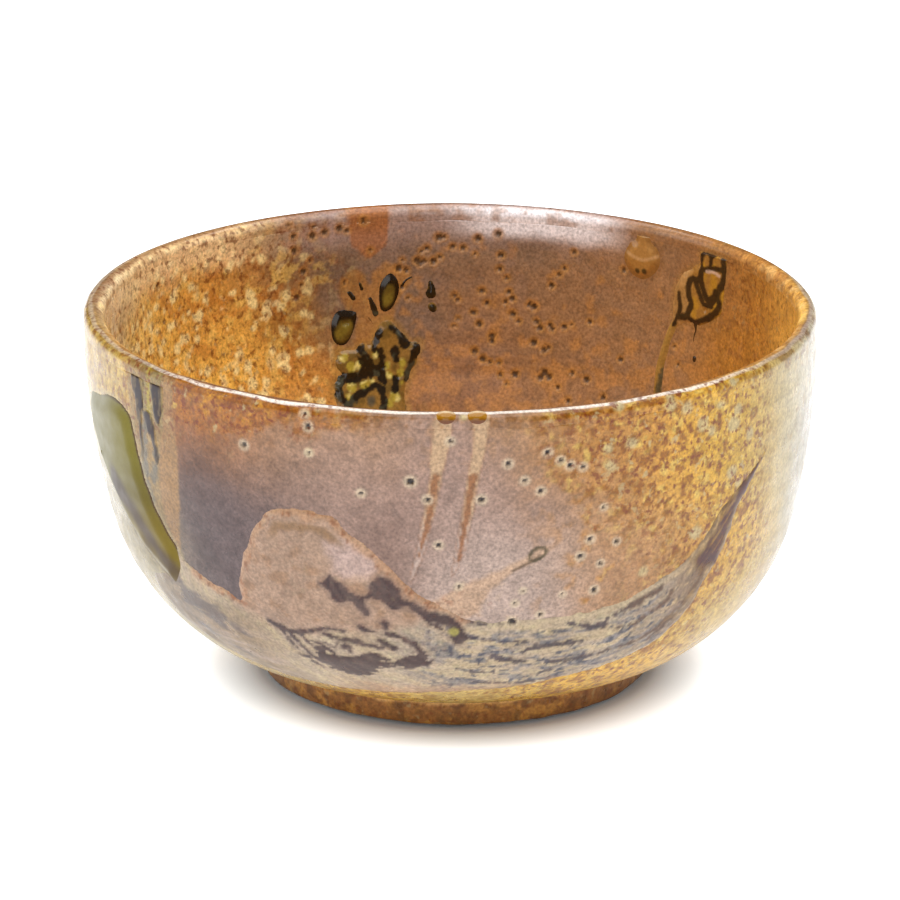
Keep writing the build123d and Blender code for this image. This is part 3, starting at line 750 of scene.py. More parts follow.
def paint_wedge(wall, colour):
    """A pointed dab beside the hill, with a dark looped tip."""
    d = wall.inside(WEDGE, 0.3 * wall.noise(1.4, 80, 2))
    body = mottled(wall, tone(202, 168, 140), 81)
    low = step(wall.turned, 4, -1)
    body = over(body, 0.6 * low * wall.cloud(1.0, 82, 2, 0.15, 0.5), (160, 112, 88))
    colour = over(colour, 0.92 * step(d, 0.5, -0.5), body)
    line = wall.brushed(WEDGE_LINE) + 0.1 * wall.noise(1, 83, 2)
    colour = over(colour, 0.85 * step(line, 0.3, -0.1), (112, 92, 76))
    ring = np.abs(wall.inside(WEDGE_RING))
    return over(colour, 0.9 * step(ring, 0.42, 0.15), (98, 88, 70))


def outer_pits(wall):
    return wall.spots(OUTER_PITS + BACK_PITS)


def paint_outer(wall):
    """Everything painted on the outer coat, as colour, flecks and roughness."""
    colour = mottled(wall, washed(wall, OUTER_TONES, 6.0), 20)
    panel = step(wall.turned, -46.5, -45) * step(wall.turned, 34, 24) * step(wall.z, 20, 30)
    left = panel * step(wall.turned, -4, -22)
    edge = step(wall.z + 2.6 * wall.noise(3, 21, 3) - 0.12 * (wall.turned + 46), 55.5, 60)
    rusty = left * edge
    ember = over((186, 124, 72), wall.cloud(1.6, 30, 3, -0.1, 0.5), (210, 150, 70))
    colour = over(colour, 0.85 * rusty * wall.cloud(1.9, 22, 3, -0.6, 0.1), ember)
    colour = over(colour, 0.6 * rusty * wall.cloud(1.1, 34, 3, 0.1, 0.5), RUST_BROWN)
    middle = panel * step(wall.turned, -14, -6) * step(wall.z, 52, 62)
    colour = over(colour, 0.5 * middle * wall.cloud(2.0, 31, 3, 0.1, 0.5), TAN)
    right = panel * step(wall.turned, 6, 24)
    blotch = step(wall.noise(2.6, 23, 3) + 0.03 * (wall.z - 45), 0.0, 0.45)
    colour = over(colour, 0.6 * right * blotch, (190, 136, 76))
    shade = 0.1 * left + 0.1 * step(wall.turned, -32, -42) * step(wall.turned, -50, -47)
    colour = darker(colour, shade * step(wall.z, 58, 52))
    start = step(wall.turned, 14, 26) * step(wall.turned, 48, 38) * step(wall.z, 34, 40)
    colour = darker(colour, -0.1 * start)
    gold = np.maximum(golden(colour), 0.9 * rusty)
    colour = ash_spots(wall, colour, golden(colour) * (1 - left), 24)
    bright = colour.mean(axis=-1)
    cream = step(bright, 0.40, 0.55)
    tan_flecks = cream * wall.cloud(1.3, 32, 3, 0.1, 0.5)
    colour = over(colour, 0.5 * tan_flecks, (196, 158, 96))
    streaks = wall.streaks(0.8, 14, 27, 2)
    edge_zone = step(np.abs(np.abs(wall.turned) - 84), 30, 12)
    colour = darker(colour, 0.08 * edge_zone * streaks)
    spots = wall.spots(CREAM_SPOTS) + 0.3 * wall.noise(1, 33, 2)
    colour = over(colour, 0.8 * step(spots, 0.5, -0.3), CREAM)
    colour = paint_side(wall, colour)
    colour = paint_wedge(wall, paint_trails(wall, colour))
    pool = wall.inside(POOL_OUTLINE)
    colour = over(colour, 0.4 * step(pool, 1.0, 0.2), CREAM * 0.9)
    # Painted shade: the glaze darker at the left and right edges of the bowl's front half.
    left_edge_shade = step(wall.turned, -44, -60) * step(wall.z, 48, 38)
    right_edge_shade = step(wall.turned, 60, 73) * step(wall.z, 57, 50)
    front_half = step(np.abs(wall.turned), 96, 84)
    colour = darker(colour, front_half * (0.34 * left_edge_shade + 0.26 * right_edge_shade))
    colour = pitted(colour, outer_pits(wall), (222, 200, 170), (58, 44, 34), 0.85)
    return painted(colour, np.maximum(gold, 0.5 * cream), 0.30 + 0.05 * wall.noise(5, 29, 2))


def ink_shape(wall):
    """Distance from the dark brush strokes in the slip, with ragged edges."""
    ragged = 0.45 * wall.noise(1.5, 49, 3) + 0.3 * wall.noise(0.6, 50, 2)
    upper = wall.inside(UPPER_STROKE, 0.7 * ragged, 4)
    mass = wall.inside(LOWER_MASS, ragged, 4)
    fringe = wall.streaks(2.6, 0.55, 57, 2)
    mass = mass + 1.3 * step(fringe, 0.1, 0.5) * step(mass, -1.8, -0.2)
    return np.minimum(np.minimum(upper, mass), wall.brushed(LOWER_STROKES) + ragged)


def paint_slip(wall):
    """The poured slip: a beige hill, dark brush strokes, and streaks that follow the wave."""
    below, along = wall.along(BAND_TOP)
    drift = 0.6 * wall.noise(4, 40, 2)
    fine = noise(flat_points(along * 40, below / 0.62 + drift), 1, 41, 2)
    slow = noise(flat_points(along * 13, below / 1.2 + drift), 1, 42, 2)
    blots = wall.noise(0.9, 58, 3)
    flow = 0.6 * fine + 0.5 * slow + 0.45 * blots
    base = over((196, 174, 142), 0.7 * step(slow, -0.5, 0.4), (184, 164, 144))
    base = over(base, 0.5 * step(blots, 0.1, 0.6), (206, 190, 150))
    right = step(wall.turned, 26, 42)
    base = over(base, 0.75 * right, over((152, 130, 116), step(fine, -0.1, 0.4), (186, 160, 132)))
    zone = step(wall.turned, -14, 3) * step(below, 1.2, 3.2)
    base = over(base, 0.8 * step(flow, -0.05, 0.4) * zone, (128, 124, 126))
    specks = wall.noise(0.75, 56, 2) + 0.5 * fine
    base = over(base, 0.85 * step(specks, 0.35, 0.7) * zone, (84, 86, 98))
    strokes = wall.brushed(WAVE_STROKES) + 0.5 * blots + 0.3 * wall.noise(0.5, 59, 2)
    dark = over((84, 76, 82), step(wall.turned, 22, 34), (108, 86, 76))
    base = over(base, 0.9 * step(strokes, 0.35, -0.2), dark)
    foot = step(wall.z + 1.2 * wall.noise(3, 43, 2), 15.5, 12)
    base = over(base, 0.7 * foot * step(wall.turned, -30, -12), (196, 152, 120))
    left = step(wall.turned, -26, -38)
    low = step(wall.z, 30, 21)
    base = over(base, 0.8 * left * low, (148, 124, 98))
    veins = wall.streaks(9, 0.8, 44, 2)
    base = over(base, 0.55 * left * step(veins, 0.1, 0.6) * step(wall.z, 24, 16), LILAC)
    hill = wall.inside(HILL_OUTLINE, 1.2 * wall.noise(4, 45, 3))
    base = over(base, step(hill, 2.0, -1.5), (178, 148, 126))
    base = over(base, 0.6 * wall.cloud(2.6, 46, 3, 0.0, 0.5) * step(hill, 0, -2), (162, 126, 98))
    lobe = wall.inside(HILL_LOBE, 0.8 * wall.noise(2, 66, 2))
    base = over(base, 0.9 * step(lobe, 1.4, -1.0), (202, 174, 162))
    colour = mottled(wall, base, 47)
    seam, _ = wall.along(HILL_SEAM)
    ragged = 0.5 * wall.noise(1.5, 48, 2)
    colour = over(colour, 0.7 * step(seam + 1.6 * ragged, 1.9, 0.5), (196, 152, 118))
    dots = wall.cloud(0.8, 67, 2, 0.1, 0.5) * step(np.abs(seam - 0.8), 1.0, 0.3)
    colour = over(colour, 0.7 * dots, (144, 92, 66))
    shade = step(np.abs(seam - 3.0 + ragged), 1.2, 0.2) * step(wall.z, 40, 43)
    colour = over(colour, 0.8 * shade, (148, 116, 86))
    band = step(np.abs(below - 0.6), 0.7, 0.2) * step(wall.turned, 4, 10)
    colour = over(colour, 0.6 * band, (204, 182, 150))
    hairs = over((120, 88, 54), step(fine, -0.3, 0.4), (192, 154, 96))
    colour = over(colour, 0.7 * step(wall.turned, 34, 47), hairs)
    # Painted shade: the slip darker towards the bowl's left edge, as on the wall beside it.
    colour = darker(colour, 0.26 * step(wall.turned, -42, -56))
    ink = ink_shape(wall)
    colour = over(colour, 0.35 * step(ink, 1.0, 0.1), (146, 122, 112))
    streaked = over((84, 70, 70), step(fine, -0.2, 0.6), (102, 86, 82))
    colour = over(colour, 0.95 * step(ink, 0.3, -0.25), streaked)
    colour = over(colour, step(wall.spots(CELL_SPOT), 0.35, -0.15), (168, 156, 92))
    feather = 1.1 * wall.streaks(2.4, 0.6, 68, 3)
    patch = np.minimum(wall.inside(LEFT_PATCH), wall.brushed(LEFT_FEATHERS)) + feather
    colour = over(colour, 0.85 * step(patch, 0.8, -0.8), (110, 98, 94))
    tip = wall.inside(RIGHT_TIP, 0.8 * wall.streaks(1, 3, 69, 2))
    colour = over(colour, 0.85 * step(tip, 1.2, -1.0), paint_tip(wall))
    colour = pitted(colour, outer_pits(wall), (210, 190, 160), (60, 50, 44), 0.7)
    return painted(colour, 0.12, 0.33 + 0.05 * slow)


def paint_pool(wall):
    """Green glass: pale olive above, brownish in the middle, and a thin dark line round it."""
    d = wall.inside(POOL_OUTLINE)
    t = step(wall.z + 1.5 * wall.noise(8, 50, 2), 54, 26)
    colour = over((140, 130, 74), step(t, 0, 0.5), (124, 112, 44))
    colour = over(colour, step(t, 0.4, 0.85), (140, 122, 42))
    # Painted sheen: paler grey olive at the pool's upper left.
    left = step(wall.turned, -60, -68) * step(wall.z, 36, 46)
    colour = over(colour, 0.5 * left, (150, 142, 112))
    core = wall.brushed(POOL_CORE) + 1.2 * wall.noise(5, 51, 2)
    colour = over(colour, 0.8 * step(core, 2.0, -0.8), (88, 72, 50))
    side = wall.brushed(POOL_SIDE) + 0.5 * wall.noise(3, 53, 2)
    colour = over(colour, 0.6 * step(side, 0.7, -0.3), (140, 120, 98))
    tail = step(wall.z, 31, 26)
    colour = over(colour, 0.6 * tail, (128, 110, 88))
    line = step(np.abs(d + 0.2), 0.42, 0.1)
    colour = over(colour, 0.85 * line * step(wall.turned, -72, -62), (86, 62, 46))
    return painted(colour, polish=0.34)


def paint_tip(wall):
    """Dark brown brush hairs that let gold through, at the wave's right-hand tip."""
    hairs = noise(flat_points((wall.x - 0.8 * wall.y) / 0.6, (wall.x + wall.y) / 5), 1, 73, 3)
    colour = over((94, 62, 30), step(hairs, 0.0, 0.5), (150, 110, 52))
    core = wall.spots([(45, 34, 1.2)]) + 0.8 * wall.noise(1.5, 74, 2)
    return over(colour, step(core, 1.0, -0.5), (84, 56, 32))


def paint_iron(wall):
    """Dark iron pigment with paler grains, and brown brush hairs at the right-hand tip."""
    grains = wall.streaks(0.5, 1.8, 55, 3)
    under = paint_outer(wall)["tone"]
    inner_part = iron_shape(wall) + 0.55 * wall.streaks(0.7, 2.4, 75, 3)
    colour = over((78, 64, 58), 0.7 * step(grains, 0.05, 0.5), (128, 114, 96))
    colour = over(colour, 0.4 * step(wall.z, 54, 50), (106, 102, 96))
    colour = over(colour, step(wall.turned, 0, 10), paint_tip(wall))
    colour = over(under, step(inner_part, -0.05, -0.6), colour)
    return painted(colour, polish=0.42)


def paint_inner(wall):
    """The inner coat: gold at the left, brown at the back, honey at the right, pinholes, and
    painted sheen near the lip.
    """
    colour = mottled(wall, washed(wall, INNER_TONES, 6.0), 120)
    gold = golden(colour)
    drift = wall.noise(6, 132, 3)
    left = step(np.abs(wall.turned - 244) + 14 * drift, 58, 26) * step(wall.z + 3 * drift, 12, 28)
    colour = over(colour, 0.55 * left * wall.cloud(1.5, 122, 2, 0.1, 0.5), (172, 106, 40))
    colour = over(colour, 0.35 * (1 - left) * wall.cloud(1.5, 122, 2, 0.3, 0.65) * gold, CHESTNUT)
    blotch = wall.cloud(1.5, 121, 3, 0.05, 0.45)
    pale = over((224, 184, 96), wall.cloud(3, 131, 2, 0, 0.5), (228, 208, 150))
    colour = over(colour, 0.6 * blotch * left, pale)
    spots = wall.spots(LEFT_SPOTS) + 0.5 * wall.noise(1.2, 134, 2)
    colour = over(colour, 0.9 * step(spots, 0.35, -0.25), (228, 204, 140))
    low = step(wall.z, 52, 34)
    flame = step(wall.noise(2.4, 123, 3) + 0.5 * (low - 0.5), 0.1, 0.6)
    colour = over(colour, 0.6 * flame * (1 - left), (174, 120, 62))
    grey = wall.cloud(3.0, 124, 3, -0.1, 0.5) * (1 - gold) * (1 - 0.6 * low)
    colour = over(colour, 0.5 * grey, (122, 98, 84))
    fall = wall.streaks(0.9, 9, 125, 2)
    honey = wall.near(108, 26, 10)
    colour = darker(colour, -0.12 * fall * honey)
    orange = step(wall.inside(ORANGE_PATCH, 0.2 * wall.noise(2, 126, 2)), 0.3, -0.3)
    colour = over(colour, 0.85 * orange, (150, 94, 48))
    halo = wall.inside(LEFT_HALO, 0.7 * wall.noise(2.2, 127, 3))
    colour = over(colour, 0.7 * step(halo, 0.6, -0.6), (162, 112, 52))
    cluster = wall.inside(LEFT_CLUSTER, 0.6 * wall.noise(2, 128, 2))
    colour = over(colour, 0.6 * step(cluster, 1.4, 0.2), (150, 112, 52))
    right = wall.inside(RIGHT_BODY)
    colour = over(colour, 0.5 * step(right, 1.2, 0.2), (150, 108, 56))
    drop = wall.inside(DROP_OUTLINE)
    colour = over(colour, 0.4 * step(drop, 1.1, 0.2), (118, 80, 44))
    # Painted sheen: a pale mauve reflection on the back wall under the lip, a painted highlight
    # under the far lip, and a painted sheen on the left lip.
    back_wall_sheen = step(wall.z + 1.5 * wall.noise(7, 133, 2), 56, 63) * wall.near(180, 38, 20)
    colour = over(colour, 0.55 * back_wall_sheen, (172, 148, 142))
    shine = step(wall.z + 0.8 * wall.noise(7, 135, 2), 58.5, 61.5) * wall.near(164, 19, 7)
    colour = over(colour, 0.9 * shine, (226, 220, 222))
    left_lip_sheen = step(wall.z + 1.2 * wall.noise(4, 136, 2), 56, 62) * wall.near(246, 42, 18)
    colour = over(colour, 0.62 * left_lip_sheen, (240, 212, 164))
    colour = over(colour, 0.9 * orange * back_wall_sheen, (150, 94, 48))
    brown = step(np.abs(wall.turned - 205) + 3 * wall.noise(4, 137, 2), 12, 4)
    brown = brown * step(np.abs(wall.z - 49), 11, 5)
    colour = darker(colour, 0.22 * brown)
    pits = wall.spots(INNER_PITS)
    colour = over(colour, 0.6 * step(pits, 0.9, 0.15), (168, 118, 58))
    colour = over(colour, 0.9 * step(pits, 0.1, -0.15), (62, 42, 24))
    return painted(colour, 0.8 * np.maximum(left, 0.7 * honey),
                   0.30 + 0.05 * wall.noise(6, 130, 2))


def left_run_shape(wall):
    """Distance from the beads, the ink and the cluster of the left run."""
    ragged = 0.3 * wall.noise(1.3, 140, 3)
    shape = wall.inside_any(BEADS)
    shape = np.minimum(shape, wall.brushed(LEFT_INK) + 0.5 * ragged)
    return np.minimum(shape, wall.inside(LEFT_CLUSTER, 1.3 * ragged))


def paint_left_run(wall):
    """Olive beads in black rings, and a net of black round sulphur-yellow cells."""
    ragged = 0.3 * wall.noise(1.0, 142, 3)
    body = over((134, 100, 46), wall.cloud(1.6, 141, 3, -0.2, 0.4), (104, 80, 36))
    cells = wall.spots(LEFT_CELLS) + 1.4 * ragged
    yellow = over((158, 140, 52), wall.cloud(1.5, 143, 2, -0.1, 0.5), (212, 198, 118))
    colour = over(body, 0.95 * step(cells, 0.25, -0.35), yellow)
    colour = over(colour, 0.8 * step(wall.spots(LEFT_SLATE) + ragged, 0.4, -0.4), (74, 72, 60))
    beads = wall.inside_any(BEADS)
    colour = over(colour, step(beads, 0.4, 0.0), (30, 20, 8))
    hearts = wall.inside_any(BEAD_HEARTS, 0.5 * ragged)
    olive = over((92, 74, 26), wall.cloud(2, 145, 2, -0.3, 0.4), (112, 94, 32))
    colour = over(colour, step(hearts, 0.35, -0.35), olive)
    ink = wall.brushed(LEFT_INK) + 1.5 * ragged - 0.15
    dark = over((28, 20, 10), wall.cloud(1.2, 144, 2, 0.25, 0.6), (58, 58, 44))
    colour = over(colour, 0.97 * step(ink, 0.25, -0.15), dark)
    return painted(colour)


def right_run_shape(wall):
    ragged = 0.3 * wall.noise(1.5, 151, 3)
    lines = np.minimum(wall.brushed(RIGHT_INK), wall.brushed(RIGHT_STREAK)) + 0.5 * ragged
    return np.minimum(wall.inside(RIGHT_BODY, ragged), lines)


def paint_right_run(wall):
    """Amber cells inside black rings, and a long olive streak."""
    ragged = 0.22 * wall.noise(1.1, 154, 3)
    amber = over((148, 104, 46), wall.cloud(2, 152, 2, -0.2, 0.5), (166, 120, 38))
    beige = over((152, 112, 62), wall.cloud(1.6, 155, 2, -0.2, 0.5), (168, 126, 74))
    colour = over(beige, step(wall.turned, 134.4, 132.6), amber)
    streak = wall.brushed(RIGHT_STREAK) + ragged
    colour = over(colour, 0.8 * step(streak, 0.4, -0.4) * step(wall.z, 50, 47), (148, 112, 50))
    dark = wall.brushed(RIGHT_STREAK_DARK) + 2 * ragged
    colour = over(colour, 0.85 * step(dark, 0.5, -0.2), (66, 62, 44))
    ink = wall.brushed(RIGHT_INK) + ragged - 0.14
    colour = over(colour, 0.97 * step(ink, 0.3, -0.1), (44, 28, 14))
    colour = over(colour, 0.8 * step(wall.brushed(RIGHT_GLINT), 0.3, 0), (196, 164, 140))
    return painted(colour)


def paint_drop(wall):
    """A honey drop with a darker rim, a painted highlight arc across its middle, and two dark
    specks low in it.
    """
    d = wall.inside(DROP_OUTLINE)
    colour = over((140, 98, 50), step(d, -0.4, -1.2), (158, 114, 60))
    colour = over(colour, 0.5 * step(wall.z, 59, 58) * step(d, -0.4, -1), (150, 100, 40))
    # Painted highlight: a pale arc across the drop's middle.
    ridge = wall.brushed(DROP_HIGHLIGHT)
    colour = over(colour, 0.55 * step(ridge, 0.4, -0.1), (196, 156, 108))
    colour = over(colour, 0.85 * step(wall.spots(DROP_SPOTS), 0.3, -0.1), MOSS_BLACK)
    top = step(wall.z + 0.5 * wall.noise(1.5, 155, 2), 62.0, 64.5)
    colour = over(colour, 0.6 * top, (92, 76, 46))
    return painted(colour)


# ---- the fired surface: ripples, dents and bulges, in millimetres along the wall's normal ----
def outer_lift(wall):
    """Throwing ripples, an uneven wall, pinholes and the slight ridge of each rim trail."""
    ripple = np.sin(wall.z * 1.45 + 1.2 * wall.noise(30, 201)) * step(wall.z, 8, 20)
    lift = 0.03 * ripple + 0.14 * wall.noise(34, 202) + 0.012 * wall.noise(1.6, 203, 2)
    lift = lift * step(wall.z, 5, 9)
    for outline in TRAILS:
        lift = lift + 0.06 * step(wall.inside(outline), 0.4, -0.4)
    lift = lift + 0.1 * step(wall.inside(WEDGE), 0.3, -1.0)
    pits = outer_pits(wall)
    return lift + 0.05 * step(pits, 0.8, 0.2) - 0.32 * step(pits, 0.25, -0.25)


def inner_lift(wall):
    ripple = np.sin(wall.z * 1.2 + 1.4 * wall.noise(30, 211))
    lift = 0.025 * ripple * step(wall.z, 14, 26) + 0.16 * wall.noise(30, 212)
    lift = lift + 0.02 * wall.noise(1.8, 213, 2)
    pits = wall.spots(INNER_PITS)
    return lift - 0.3 * step(pits, 0.25, -0.25)


# ---- meshes --------------------------------------------------------------------------------
def new_object(name, data):
    made = bpy.data.objects.new(name, data)
    bpy.context.scene.collection.objects.link(made)
    return made


def make_object(name, verts, faces, paint):
    """A smooth closed mesh with its normals outwards and its paint on its points."""
    verts, faces = np.asarray(verts, float), np.asarray(faces, np.int64)
    a, b, c, d = (verts[faces[:, n]] for n in range(4))
    volume = (np.cross(a, b) * c).sum() + (np.cross(a, c) * d).sum()
    if volume < 0:
        faces = faces[:, ::-1]
    counts = np.where(faces[:, 3] == faces[:, 2], 3, 4)
    loops = [f[:n] for f, n in zip(faces.tolist(), counts)]
    mesh = bpy.data.meshes.new(name)
    mesh.from_pydata((verts * MM).tolist(), [], loops)
    mesh.polygons.foreach_set("use_smooth", np.ones(len(loops), bool))
    tones = mesh.attributes.new("tone", "FLOAT_COLOR", "POINT")
    rgba = np.concatenate([paint["tone"], np.ones((len(verts), 1))], axis=1)
    tones.data.foreach_set("color", rgba.astype(np.float32).ravel())
    for key in ("fleck", "polish"):
        values = mesh.attributes.new(key, "FLOAT", "POINT")
        values.data.foreach_set("value", paint[key].astype(np.float32))
    mesh.update()
    return new_object(name, mesh)


def ring_faces(rows, cols, closed):
    """Quads of a grid that is closed round its columns, and round its rows too if closed."""
    i = np.arange(rows if closed else rows - 1)[:, None]
    j = np.arange(cols)[None, :]
    up, next_j = (i + 1) % rows, (j + 1) % cols
    quads = np.stack([i * cols + j, i * cols + next_j, up * cols + next_j, up * cols + j], -1)
    return quads.reshape(-1, 4)


def fan(centre, ring):
    """Triangles from a centre point to a ring, each written with its last corner twice."""
    turned = np.roll(ring, -1)
    return np.stack([np.full(len(ring), centre), ring, turned, turned], axis=1)


def shell(name, wall, lift, paint, depth, back_rows=10, floored=False):
    """A closed coat: its fired face, and a plain back face depth millimetres below that."""
    rows, cols = wall.s.shape
    face = wall.p + wall.normal * lift[..., None]
    picked = np.round(np.linspace(rows - 1, 0, back_rows)).astype(int)
    back = (wall.p - wall.normal * depth)[picked]
    verts = np.concatenate([face, back]).reshape(-1, 3)
    total = rows + back_rows
    faces = ring_faces(total, cols, not floored)
    values = {k: np.concatenate([v, v[picked]]).reshape((-1,) + v.shape[2:])
              for k, v in paint.items()}
    if floored:
        low, high = face[0].mean(axis=0), back[-1].mean(axis=0)
        verts = np.concatenate([verts, [low, high]])
        first = np.arange(cols)
        last = (total - 1) * cols + first
        ends = [fan(total * cols, first[::-1]), fan(total * cols + 1, last)]
        faces = np.concatenate([faces, *ends])
        values = {k: np.concatenate([v, [v[0], v[0]]]) for k, v in values.items()}
    return make_object(name, verts, faces, values)


LENS_MARGIN = 0.45  # how far a lens runs on under the coat, past its outline


def relief(name, section, window, pitch, shape, profile, lift, painter, depth=0.3):
    """A closed lens of glaze over part of a wall. profile gives its height from its outline."""
    a0, a1, s0, s1 = window
    angles = np.arange(a0, a1, pitch / UNROLLED)
    wall = Wall(section, angles, np.arange(s0, s1, pitch * 1.2)[:, None])
    distance = shape(wall)
    keep = distance < LENS_MARGIN
    cells = keep[:-1, :-1] & keep[1:, :-1] & keep[:-1, 1:] & keep[1:, 1:]
    rows, cols = wall.s.shape
    top = wall.p + wall.normal * (lift(wall) + profile(distance, wall))[..., None]
    bottom = wall.p - wall.normal * depth
    i, j = np.nonzero(cells)
    corners = [(i, j), (i, j + 1), (i + 1, j + 1), (i + 1, j)]
    up = np.stack([r * cols + c for r, c in corners], axis=1)
    edges = np.concatenate([up[:, [n, (n + 1) % 4]] for n in range(4)])
    size = rows * cols
    forward, backward = edges[:, 0] * size + edges[:, 1], edges[:, 1] * size + edges[:, 0]
    open_edges = edges[~np.isin(forward, backward)]
    start, end = open_edges.T
    sides = np.stack([start, start + size, end + size, end], axis=1)
    faces = np.concatenate([up, up[:, ::-1] + size, sides])
    used, compact = np.unique(faces, return_inverse=True)
    verts = np.concatenate([top.reshape(-1, 3), bottom.reshape(-1, 3)])[used]
    paint = lit(painter(wall), 1.0 if section is INNER else 0.0)
    values = {k: np.concatenate([v.reshape((size,) + v.shape[2:])] * 2)[used]
              for k, v in paint.items()}
    return make_object(name, verts, compact.reshape(-1, 4), values)


def mounded(rise, width):
    """A profile that rises over a width from just under the coat at its outline."""
    def profile(distance, wall):
        return rise * step(-distance, -0.15, width) - 0.22 * step(distance, -0.1, 0.35)
    return profile


# ---- materials -----------------------------------------------------------------------------
def new_nodes(name):
    material = bpy.data.materials.new(name)
    material.use_nodes = True
    tree = material.node_tree
    tree.nodes.clear()
    output = tree.nodes.new("ShaderNodeOutputMaterial")
    shader = tree.nodes.new("ShaderNodeBsdfPrincipled")
    tree.links.new(shader.outputs["BSDF"], output.inputs["Surface"])
    return material, tree, shader


def grain(tree, scale, detail=2.0, roughness=0.5):
    """A noise texture in the piece's own coordinates, at a number of features for each metre."""
    place_node = tree.nodes.new("ShaderNodeTexCoord")
    texture = tree.nodes.new("ShaderNodeTexNoise")
    texture.inputs["Scale"].default_value = scale
    texture.inputs["Detail"].default_value = detail
    texture.inputs["Roughness"].default_value = roughness
    tree.links.new(place_node.outputs["Object"], texture.inputs["Vector"])
    return texture.outputs["Fac"]


def ranged(tree, value, low, high, start, end):
    node = tree.nodes.new("ShaderNodeMapRange")
    for key, number in zip(("From Min", "From Max", "To Min", "To Max"), (low, high, start, end)):
        node.inputs[key].default_value = number
    tree.links.new(value, node.inputs["Value"])
    return node.outputs["Result"]


def math_node(tree, kind, a, b):
    node = tree.nodes.new("ShaderNodeMath")
    node.operation = kind
    for value, socket in zip((a, b), node.inputs):
        if isinstance(value, (int, float)):
            socket.default_value = value
        else:
            tree.links.new(value, socket)
    return node.outputs[0]


def mixed(tree, factor, colour, top, blend="MIX"):
    node = tree.nodes.new("ShaderNodeMix")
    node.data_type = "RGBA"
    node.blend_type = blend
    for value, socket in ((factor, node.inputs[0]), (colour, node.inputs[6]),
                          (top, node.inputs[7])):
        if isinstance(value, (int, float)):
            socket.default_value = value
        elif isinstance(value, np.ndarray):
            socket.default_value = (*value, 1.0)
        else:
            tree.links.new(value, socket)
    return node.outputs[2]


def attribute(tree, name, output):
    node = tree.nodes.new("ShaderNodeAttribute")
    node.attribute_name = name
    return node.outputs[output]


def bumped(tree, shader, scale, strength, height):
    """A fine uneven surface: scale in features for each metre, height in millimetres."""
    node = tree.nodes.new("ShaderNodeBump")
    node.inputs["Strength"].default_value = strength
    node.inputs["Distance"].default_value = height * MM
    tree.links.new(grain(tree, scale, 3), node.inputs["Height"])
    tree.links.new(node.outputs["Normal"], shader.inputs["Normal"])


def glazed(name, mottle=0.3, bump=0.05, gloss=0.3):
    """A glaze that takes its tone from the painted points, with finer mottling and flecks."""
    material, tree, shader = new_nodes(name)
    colour = attribute(tree, "tone", "Color")
    fine = ranged(tree, grain(tree, 1900, 3), 0.3, 0.7, 1 - mottle, 1 + mottle)
    scaled = tree.nodes.new("ShaderNodeVectorMath")
    scaled.operation = "SCALE"
    tree.links.new(colour, scaled.inputs[0])
    tree.links.new(fine, scaled.inputs["Scale"])
    golden_share = attribute(tree, "fleck", "Fac")
    dark = ranged(tree, grain(tree, 1000, 3), 0.53, 0.66, 0, 0.85)
    share = math_node(tree, "MULTIPLY", dark, golden_share)
    colour = mixed(tree, share, scaled.outputs[0], fired(RUST_BROWN))
    pale = ranged(tree, grain(tree, 620, 3), 0.62, 0.72, 0, 0.7)
    share = math_node(tree, "MULTIPLY", pale, golden_share)
    colour = mixed(tree, share, colour, fired(CREAM))
    tree.links.new(colour, shader.inputs["Base Color"])
    uneven = ranged(tree, grain(tree, 400, 2), 0.3, 0.7, -0.05, 0.05)
    polish = math_node(tree, "ADD", attribute(tree, "polish", "Fac"), uneven)
    tree.links.new(polish, shader.inputs["Roughness"])
    shader.inputs["IOR"].default_value = 1.5
    shader.inputs["Specular IOR Level"].default_value = gloss
    bumped(tree, shader, 750, 0.25, bump)
    return material


def raw_clay(name):
    """Bare fired clay: warm grey-brown, gritty and matt."""
    material, tree, shader = new_nodes(name)
    cloud = ranged(tree, grain(tree, 300, 3), 0.35, 0.65, 0, 1)
    body = mixed(tree, cloud, fired(tone(168, 140, 112)), fired(tone(196, 166, 134)))
    grit = ranged(tree, grain(tree, 1700, 2), 0.62, 0.7, 0, 0.7)
    tree.links.new(mixed(tree, grit, body, fired(tone(112, 86, 68))), shader.inputs["Base Color"])
    shader.inputs["Roughness"].default_value = 0.9
    bumped(tree, shader, 1400, 0.5, 0.15)
    return material


def finished(piece, material, slot, *nodes):
    """Gives a piece its material and its place in the frame."""
    piece.data.materials.append(material)
    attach(piece, BODY)
    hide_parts(*nodes)


# ---- the coats -----------------------------------------------------------------------------
def columns(centre, half_width, fine, coarse):
    """Angles round the bowl, closer together near the centre angle."""
    near = np.arange(-half_width, half_width, fine)
    far = np.arange(half_width, 360 - half_width, coarse)
    return centre + np.concatenate([near, far])


def rows_up(section, split_z, below, above):
    """Distances up a wall to the rim coat: so many below a height, and so many above it."""
    split, top = section.s_at_height([split_z, RIM_SEAM_Z])
    lower = np.linspace(0, split, below, endpoint=False)
    return np.concatenate([lower, np.linspace(split, top, above)])[:, None]


def build_outer_glaze():
    angles = columns(centre=0, half_width=76, fine=0.35, coarse=0.9)
    wall = Wall(OUTER, angles, rows_up(OUTER, split_z=27.0, below=34, above=100))
    piece = shell("outer_glaze_skin", wall, outer_lift(wall), lit(paint_outer(wall)), GLAZE)
    finished(piece, glazed("ash_iron_glaze"), "ash_iron_glaze", "outer_glaze")


def build_inner_glaze():
    angles = columns(centre=180, half_width=74, fine=0.33, coarse=1.3)
    wall = Wall(INNER, angles, rows_up(INNER, split_z=22.0, below=34, above=116))
    piece = shell("inner_glaze_skin", wall, inner_lift(wall), lit(paint_inner(wall), 1), GLAZE,
                  floored=True)
    finished(piece, glazed("ochre_glaze"), "ochre_glaze", "inner_glaze")


